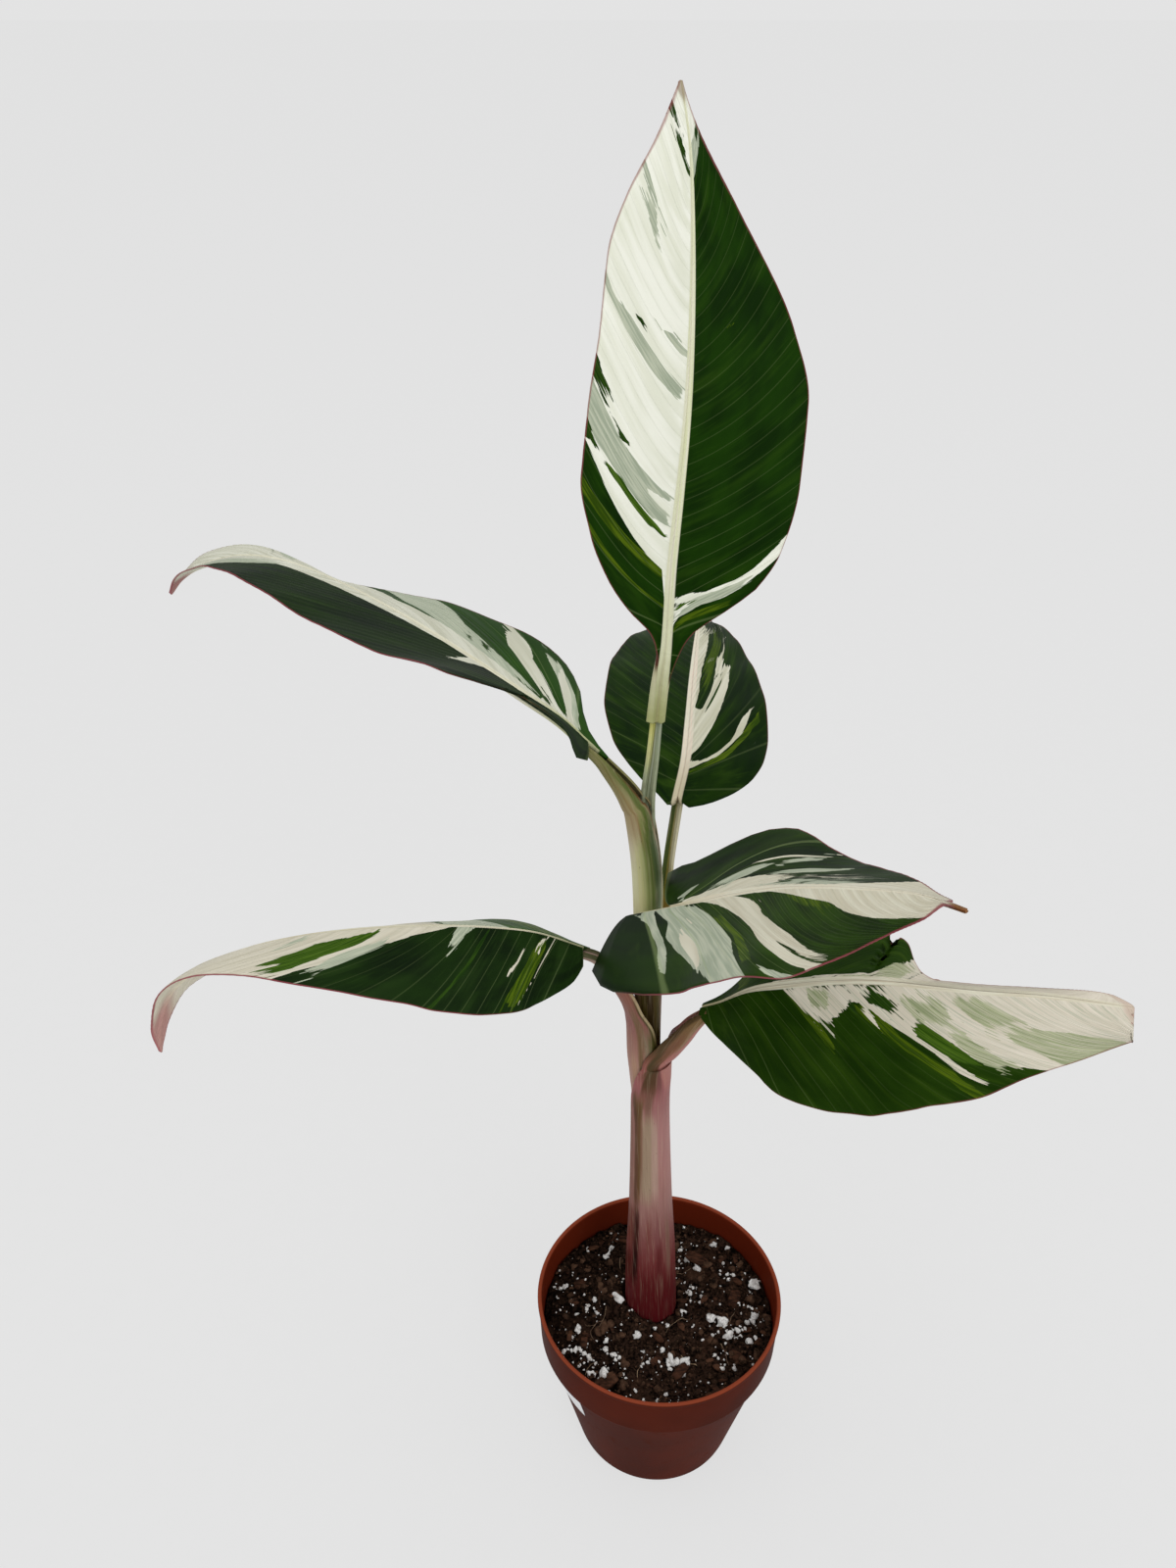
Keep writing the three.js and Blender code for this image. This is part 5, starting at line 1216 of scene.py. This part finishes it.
STALK_LOOKS = {
    "lower_right": {
        "base": [(62, (96, 20, 26)), (92, (90, 26, 28)), (105, (106, 46, 46)), (125, (128, 82, 78)),
                 (140, (148, 106, 100)), (155, (160, 114, 108)), (180, (166, 118, 114)),
                 (197, (152, 100, 98)), (206, (152, 92, 92)), (218, (138, 82, 74)), (235, (124, 88, 62)),
                 (252, (118, 94, 58)), (280, (114, 98, 62))],
        "stripes": [
            ((92, 36, 36), [(95, 0.24, 0.34), (118, 0.24, 0.32)]),
            ((120, 86, 74), [(98, 0.03, 0.13), (130, 0.03, 0.13)]),
            ((112, 60, 54), [(116, 0.45, 0.53), (134, 0.45, 0.5)]),
            ((118, 68, 68), [(118, 0.28, 0.35), (136, 0.28, 0.33)]),
            ((152, 130, 108), [(144, 0.42, 0.66), (165, 0.36, 0.64), (185, 0.36, 0.62), (193, 0.42, 0.56)]),
            ((170, 140, 126), [(146, 0.28, 0.42), (165, 0.27, 0.42), (188, 0.28, 0.42)]),
            ((118, 84, 70), [(192, 0.42, 0.58), (204, 0.4, 0.6)]),
            ((116, 70, 66), [(204, 0.2, 0.36), (218, 0.3, 0.42)]),
            ((82, 56, 34), [(204, 0.38, 0.78), (216, 0.42, 0.78), (224, 0.55, 0.8)]),
            ((74, 60, 34), [(214, 0.6, 0.9), (222, 0.62, 0.86), (230, 0.7, 0.9)]),
            ((96, 70, 38), [(144, 0.67, 0.75), (165, 0.65, 0.75), (185, 0.65, 0.75), (200, 0.6, 0.88)]),
            ((34, 4, 2), [(95, 0.7, 0.8), (110, 0.67, 0.78), (118, 0.67, 0.8)]),
            ((52, 14, 6), [(116, 0.67, 0.8), (138, 0.68, 0.8)]),
            ((80, 50, 28), [(140, 0.74, 0.82), (160, 0.74, 0.82), (185, 0.75, 0.84), (202, 0.86, 0.95)]),
            ((74, 24, 18), [(95, 0.8, 1.1), (112, 0.8, 1.1)]),
            ((94, 40, 30), [(116, 0.82, 1.1), (138, 0.82, 1.1)]),
            ((130, 90, 78), [(142, 0.83, 1.1), (175, 0.85, 1.1), (196, 0.94, 1.1)]),
            ((170, 112, 104), [(204, -1.1, 0.1), (216, -1.1, 0.36), (222, -1.1, 0.52), (236, -1.1, 0.42),
                               (250, -1.1, 0.38)]),
            ((115, 78, 56), [(222, 0.56, 0.74), (240, 0.56, 0.74)]),
            ((144, 116, 90), [(230, 0.34, 0.46), (256, 0.34, 0.46)]),
            ((84, 64, 37), [(224, 0.8, 1.1), (240, 0.8, 1.1), (262, 0.78, 1.1)])]},
    "lower_left": {
        "base": [(62, (104, 24, 30)), (110, (116, 50, 48)), (160, (150, 98, 88)), (205, (172, 134, 120)),
                 (228, (152, 108, 96)), (240, (138, 90, 82)), (255, (134, 88, 74)), (264, (150, 112, 96)),
                 (275, (168, 142, 128)), (290, (160, 138, 122))],
        "stripes": [
            ((170, 132, 108), [(200, -0.36, -0.15), (220, -0.36, -0.15)]),
            ((114, 88, 60), [(204, -0.56, -0.4), (228, -0.58, -0.45), (244, -0.6, -0.46)]),
            ((118, 90, 66), [(224, -0.66, -0.56), (246, -0.82, -0.6)]),
            ((134, 118, 96), [(216, -0.74, -0.64), (234, -0.74, -0.66)]),
            ((106, 102, 70), [(216, -0.82, -0.74), (234, -0.84, -0.76)]),
            ((68, 68, 26), [(218, -0.92, -0.82), (234, -0.93, -0.85)]),
            ((56, 52, 16), [(206, -1.02, -0.9), (236, -1.02, -0.92), (250, -0.98, -0.9)]),
            ((176, 160, 124), [(232, -1.1, -0.98), (258, -1.1, -0.98)]),
            ((80, 82, 54), [(262, -1.1, -0.86), (274, -1.1, -0.8), (292, -1.1, -0.7)]),
            ((80, 82, 54), [(270, 0.86, 1.1), (292, 0.7, 1.1)])]},
    "front": {
        "base": [(62, (110, 70, 50)), (160, (104, 84, 46)), (215, (76, 60, 24)), (235, (66, 56, 18)),
                 (262, (68, 60, 20)), (280, (150, 146, 104)), (306, (178, 176, 144))],
        "stripes": [
            ((48, 36, 10), [(210, -0.2, 0.2), (236, -0.2, 0.1), (262, -0.1, 0.3)]),
            ((92, 78, 46), [(236, 0.45, 0.75), (262, 0.45, 0.75)]),
            ((110, 84, 66), [(224, -1.1, -0.6), (262, -1.1, -0.6)])]},
    "rear": {
        "base": [(62, (110, 80, 46)), (200, (120, 96, 50)), (262, (160, 126, 56)), (280, (148, 124, 58)),
                 (290, (132, 122, 62)), (300, (154, 146, 96)), (312, (176, 170, 134)),
                 (325, (184, 176, 144))],
        "stripes": [
            ((120, 116, 50), [(284, -0.8, -0.2), (300, -0.6, -0.15), (322, -0.5, -0.2)]),
            ((66, 80, 34), [(284, -1.1, -0.8), (300, -1.1, -0.55), (312, -1.1, -0.66), (325, -1.1, -0.9)]),
            ((120, 98, 66), [(292, 0.06, 0.18), (325, 0.06, 0.18)]),
            ((188, 182, 152), [(292, 0.44, 1.1), (325, 0.36, 1.1)])]},
    "upper_left": {
        "base": [(62, (120, 80, 60)), (200, (130, 106, 70)), (240, (180, 172, 124)), (285, (204, 198, 150)),
                 (300, (214, 211, 170)), (312, (206, 198, 166)), (322, (174, 158, 124)),
                 (330, (162, 146, 108)), (338, (142, 136, 94)), (346, (114, 112, 66)),
                 (356, (112, 112, 68))],
        "stripes": [
            ((200, 196, 146), [(285, -0.46, -0.36), (316, -0.46, -0.36)]),
            ((178, 178, 124), [(285, -0.55, -0.46), (318, -0.56, -0.46)]),
            ((124, 134, 76), [(285, -0.65, -0.55), (316, -0.65, -0.56), (330, -0.76, -0.66)]),
            ((90, 104, 50), [(285, -0.77, -0.65), (316, -0.78, -0.65), (328, -0.9, -0.76),
                             (346, -1.1, -0.85)]),
            ((80, 96, 60), [(285, -0.9, -0.76), (316, -0.9, -0.77), (328, -1, -0.9)]),
            ((102, 116, 86), [(285, -0.97, -0.89), (318, -0.98, -0.88)]),
            ((172, 160, 134), [(300, -1.1, -0.97), (318, -1.1, -0.97)]),
            ((138, 112, 70), [(318, -0.62, -0.58), (344, -0.65, -0.61)]),
            ((134, 110, 76), [(320, -0.48, -0.45), (344, -0.48, -0.45)]),
            ((88, 54, 24), [(322, -1.1, -0.985), (342, -1.1, -0.985)])]},
    "top": {
        "base": [(62, (120, 96, 60)), (280, (118, 126, 92)), (330, (152, 160, 130)), (345, (158, 166, 136)),
                 (352, (160, 168, 134)), (364, (166, 170, 112))],
        "stripes": [
            ((104, 116, 80), [(318, -0.62, -0.4), (345, -0.62, -0.4)]),
            ((150, 148, 84), [(345, -0.75, -0.35), (364, -0.8, -0.3)]),
            ((196, 198, 134), [(345, -1.1, -0.72), (364, -1.1, -0.7)]),
            ((190, 188, 100), [(356, -1.1, -0.35), (364, -1.1, -0.1)]),
            ((186, 192, 172), [(338, 0.06, 0.42), (362, 0.05, 0.5)]),
            ((116, 126, 96), [(318, 0.42, 0.62), (345, 0.42, 0.62)]),
            ((150, 160, 136), [(350, 0.56, 1.1), (364, 0.5, 1.1)]),
            ((82, 62, 34), [(338, -0.6, -0.5), (358, -0.68, -0.54)])]},
}
STALK_TURNS = 40
STALK_FINE = 9
MARGIN_FACES = 4
MARGIN_THINNING = 0.55
INNER_SHIFT = 60
STRIPE_EDGE = 0.035
STRIPE_FADE = 6.0


def ease(value, low, high):
    share = min(max((value - low) / (high - low), 0), 1)
    return share * share * (3 - 2 * share)


def stalk_colour(look, place, height):
    """The underpainting: the base colour at this height, with the stripes over it in their order."""
    base = look["base"]
    tone = [profile([(z, colour[i]) for z, colour in base], height) for i in range(3)]
    for colour, stations in look["stripes"]:
        low, high = stations[0][0], stations[-1][0]
        if not low - STRIPE_FADE < height < high + STRIPE_FADE:
            continue
        start = profile([(z, begun) for z, begun, ended in stations], height)
        end = profile([(z, ended) for z, begun, ended in stations], height)
        fade = ease(place, start - STRIPE_EDGE, start + STRIPE_EDGE)
        fade *= 1 - ease(place, end - STRIPE_EDGE, end + STRIPE_EDGE)
        fade *= ease(height, low - STRIPE_FADE, low + STRIPE_FADE)
        fade *= 1 - ease(height, high - STRIPE_FADE, high + STRIPE_FADE)
        tone = [a + (b - a) * fade for a, b in zip(tone, colour)]
    return (*shade(*tone), 1.0)


def stalk_material(name):
    skin = Finish(name, Specular_IOR_Level=0.1)
    uv = skin.node("UVMap", {"uv_map": "wrap"})
    paint = skin.node("Attribute", {"attribute_name": "paint"})
    fibres = skin.noise(skin.stretched(uv, (1.6, 0.5, 1.0)), 1.0, 3.0)
    lines = skin.noise(skin.stretched(uv, (3.6, 0.3, 1.0)), 1.0, 2.0)
    flecks = skin.noise(skin.stretched(uv, (1.2, 6.0, 1.0)), 1.0, 2.0)
    colour = skin.mix(fibres.step(0.5, 0.75) * 0.22, paint, shade(196, 176, 150))
    colour = skin.mix((1 - lines.step(0.3, 0.44)) * 0.3, colour, shade(84, 40, 34))
    colour = skin.mix(flecks.step(0.7, 0.74) * 0.5, colour, shade(58, 38, 22))
    relief = skin.bump(fibres + lines * 0.6, 0.0003)
    return skin.ends(Base_Color=colour, Roughness=0.42 + fibres * 0.16, Normal=relief)


def make_stalk(name, leaf, midrib, look):
    point, along_end, upward, sideways = midrib.at(0.0)
    back = math.radians(leaf["back"])
    outward = Vector((math.cos(back), math.sin(back), 0))
    side = outward.cross(Vector((0, 0, 1)))
    lean = (STEM_TOP - STEM_FOOT) / (STEM_TOP.z - STEM_FOOT.z)
    stations = []
    for z, radius, wall, wrap in leaf["sheath"]:
        stations.append((STEM_FOOT + lean * (z - STEM_FOOT.z), radius, wall, wrap, 0.0))
    ends = [Vector(p) for p in leaf["route"]] + [point + along_end * 1.5 - upward * (BRIM_DROP - 0.2)]
    for number, centre in enumerate(ends):
        radius, wall, wrap = leaf["petiole"][number]
        stations.append((centre, radius, wall, wrap, (number + 1) / len(ends)))
    rows = (len(stations) - 1) * STALK_FINE
    around = 2 * (STALK_TURNS + MARGIN_FACES)
    edge = STALK_TURNS + MARGIN_FACES
    bm = bmesh.new()
    verts = bmesh.ops.create_grid(bm, x_segments=rows, y_segments=around, size=0.5)["verts"]
    centres = [s[0] for s in stations]
    wraps = []
    paints = []
    travelled = [0.0]
    for row in range(1, rows + 1):
        step = curve_point(centres, row / rows) - curve_point(centres, (row - 1) / rows)
        travelled.append(travelled[-1] + step.length)

    def mixed(place, key):
        stops = [(i, s[key]) for i, s in enumerate(stations)]
        return profile(stops, place)

    for vert in verts:
        row = round((vert.co.x + 0.5) * rows)
        spot = round((vert.co.y + 0.5) * around) % around
        share = row / rows
        place = share * (len(stations) - 1)
        centre = curve_point(centres, share)
        ahead = curve_point(centres, min(share + 0.01, 1)) - curve_point(centres, max(share - 0.01, 0))
        along = along_end if row == rows else ahead.normalized()
        across = side.lerp(sideways, mixed(place, 4))
        across = (across - along * across.dot(along)).normalized()
        inward = across.cross(along)
        wrap = math.radians(mixed(place, 3))
        outer = mixed(place, 1)
        wall = mixed(place, 2)
        if spot <= STALK_TURNS:
            share_round, depth = spot / STALK_TURNS, 0.0
        elif spot < edge:
            share_round, depth = 1.0, (spot - STALK_TURNS) / MARGIN_FACES
        elif spot <= edge + STALK_TURNS:
            share_round, depth = 1 - (spot - edge) / STALK_TURNS, 1.0
        else:
            share_round, depth = 0.0, 1 - (spot - edge - STALK_TURNS) / MARGIN_FACES
        thin = 1 - MARGIN_THINNING * abs(share_round * 2 - 1) ** 6
        round_off = 0.5 * wall * math.sin(math.pi * depth) / outer
        angle = (share_round * 2 - 1) * wrap
        angle += math.copysign(round_off, angle) if 0 < depth < 1 else 0
        radius = outer - wall * (0.5 + (depth - 0.5) * thin)
        vert.co = (centre - inward * radius * math.cos(angle) + across * radius * math.sin(angle)) * MM
        turned = share_round * 2 - 1
        wraps.append((turned * wrap * outer + (depth > 0.5) * INNER_SHIFT, travelled[row] / 10))
        paints.append(stalk_colour(look, turned, vert.co.z / MM))
    layer = bm.loops.layers.uv.new("wrap")
    bm.verts.index_update()
    for face in bm.faces:
        for loop in face.loops:
            loop[layer].uv = wraps[loop.vert.index]
    mark = bm.verts.layers.float_color.new("paint")
    for vert in bm.verts:
        vert[mark] = paints[vert.index]
    bmesh.ops.remove_doubles(bm, verts=bm.verts, dist=0.005 * MM)
    bmesh.ops.holes_fill(bm, edges=[edge for edge in bm.edges if edge.is_boundary], sides=0)
    bmesh.ops.recalc_face_normals(bm, faces=bm.faces)
    stalk = make_object(name + "_sheath_and_stalk", bm, stalk_material(name + "_stalk_skin"))
    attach(stalk, "root")
    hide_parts(name + "_stalk")


for number, (name, leaf) in enumerate(LEAVES.items()):
    rib = make_blade(name, leaf, number * 3.7)
    make_stalk(name, leaf, rib, STALK_LOOKS[name])
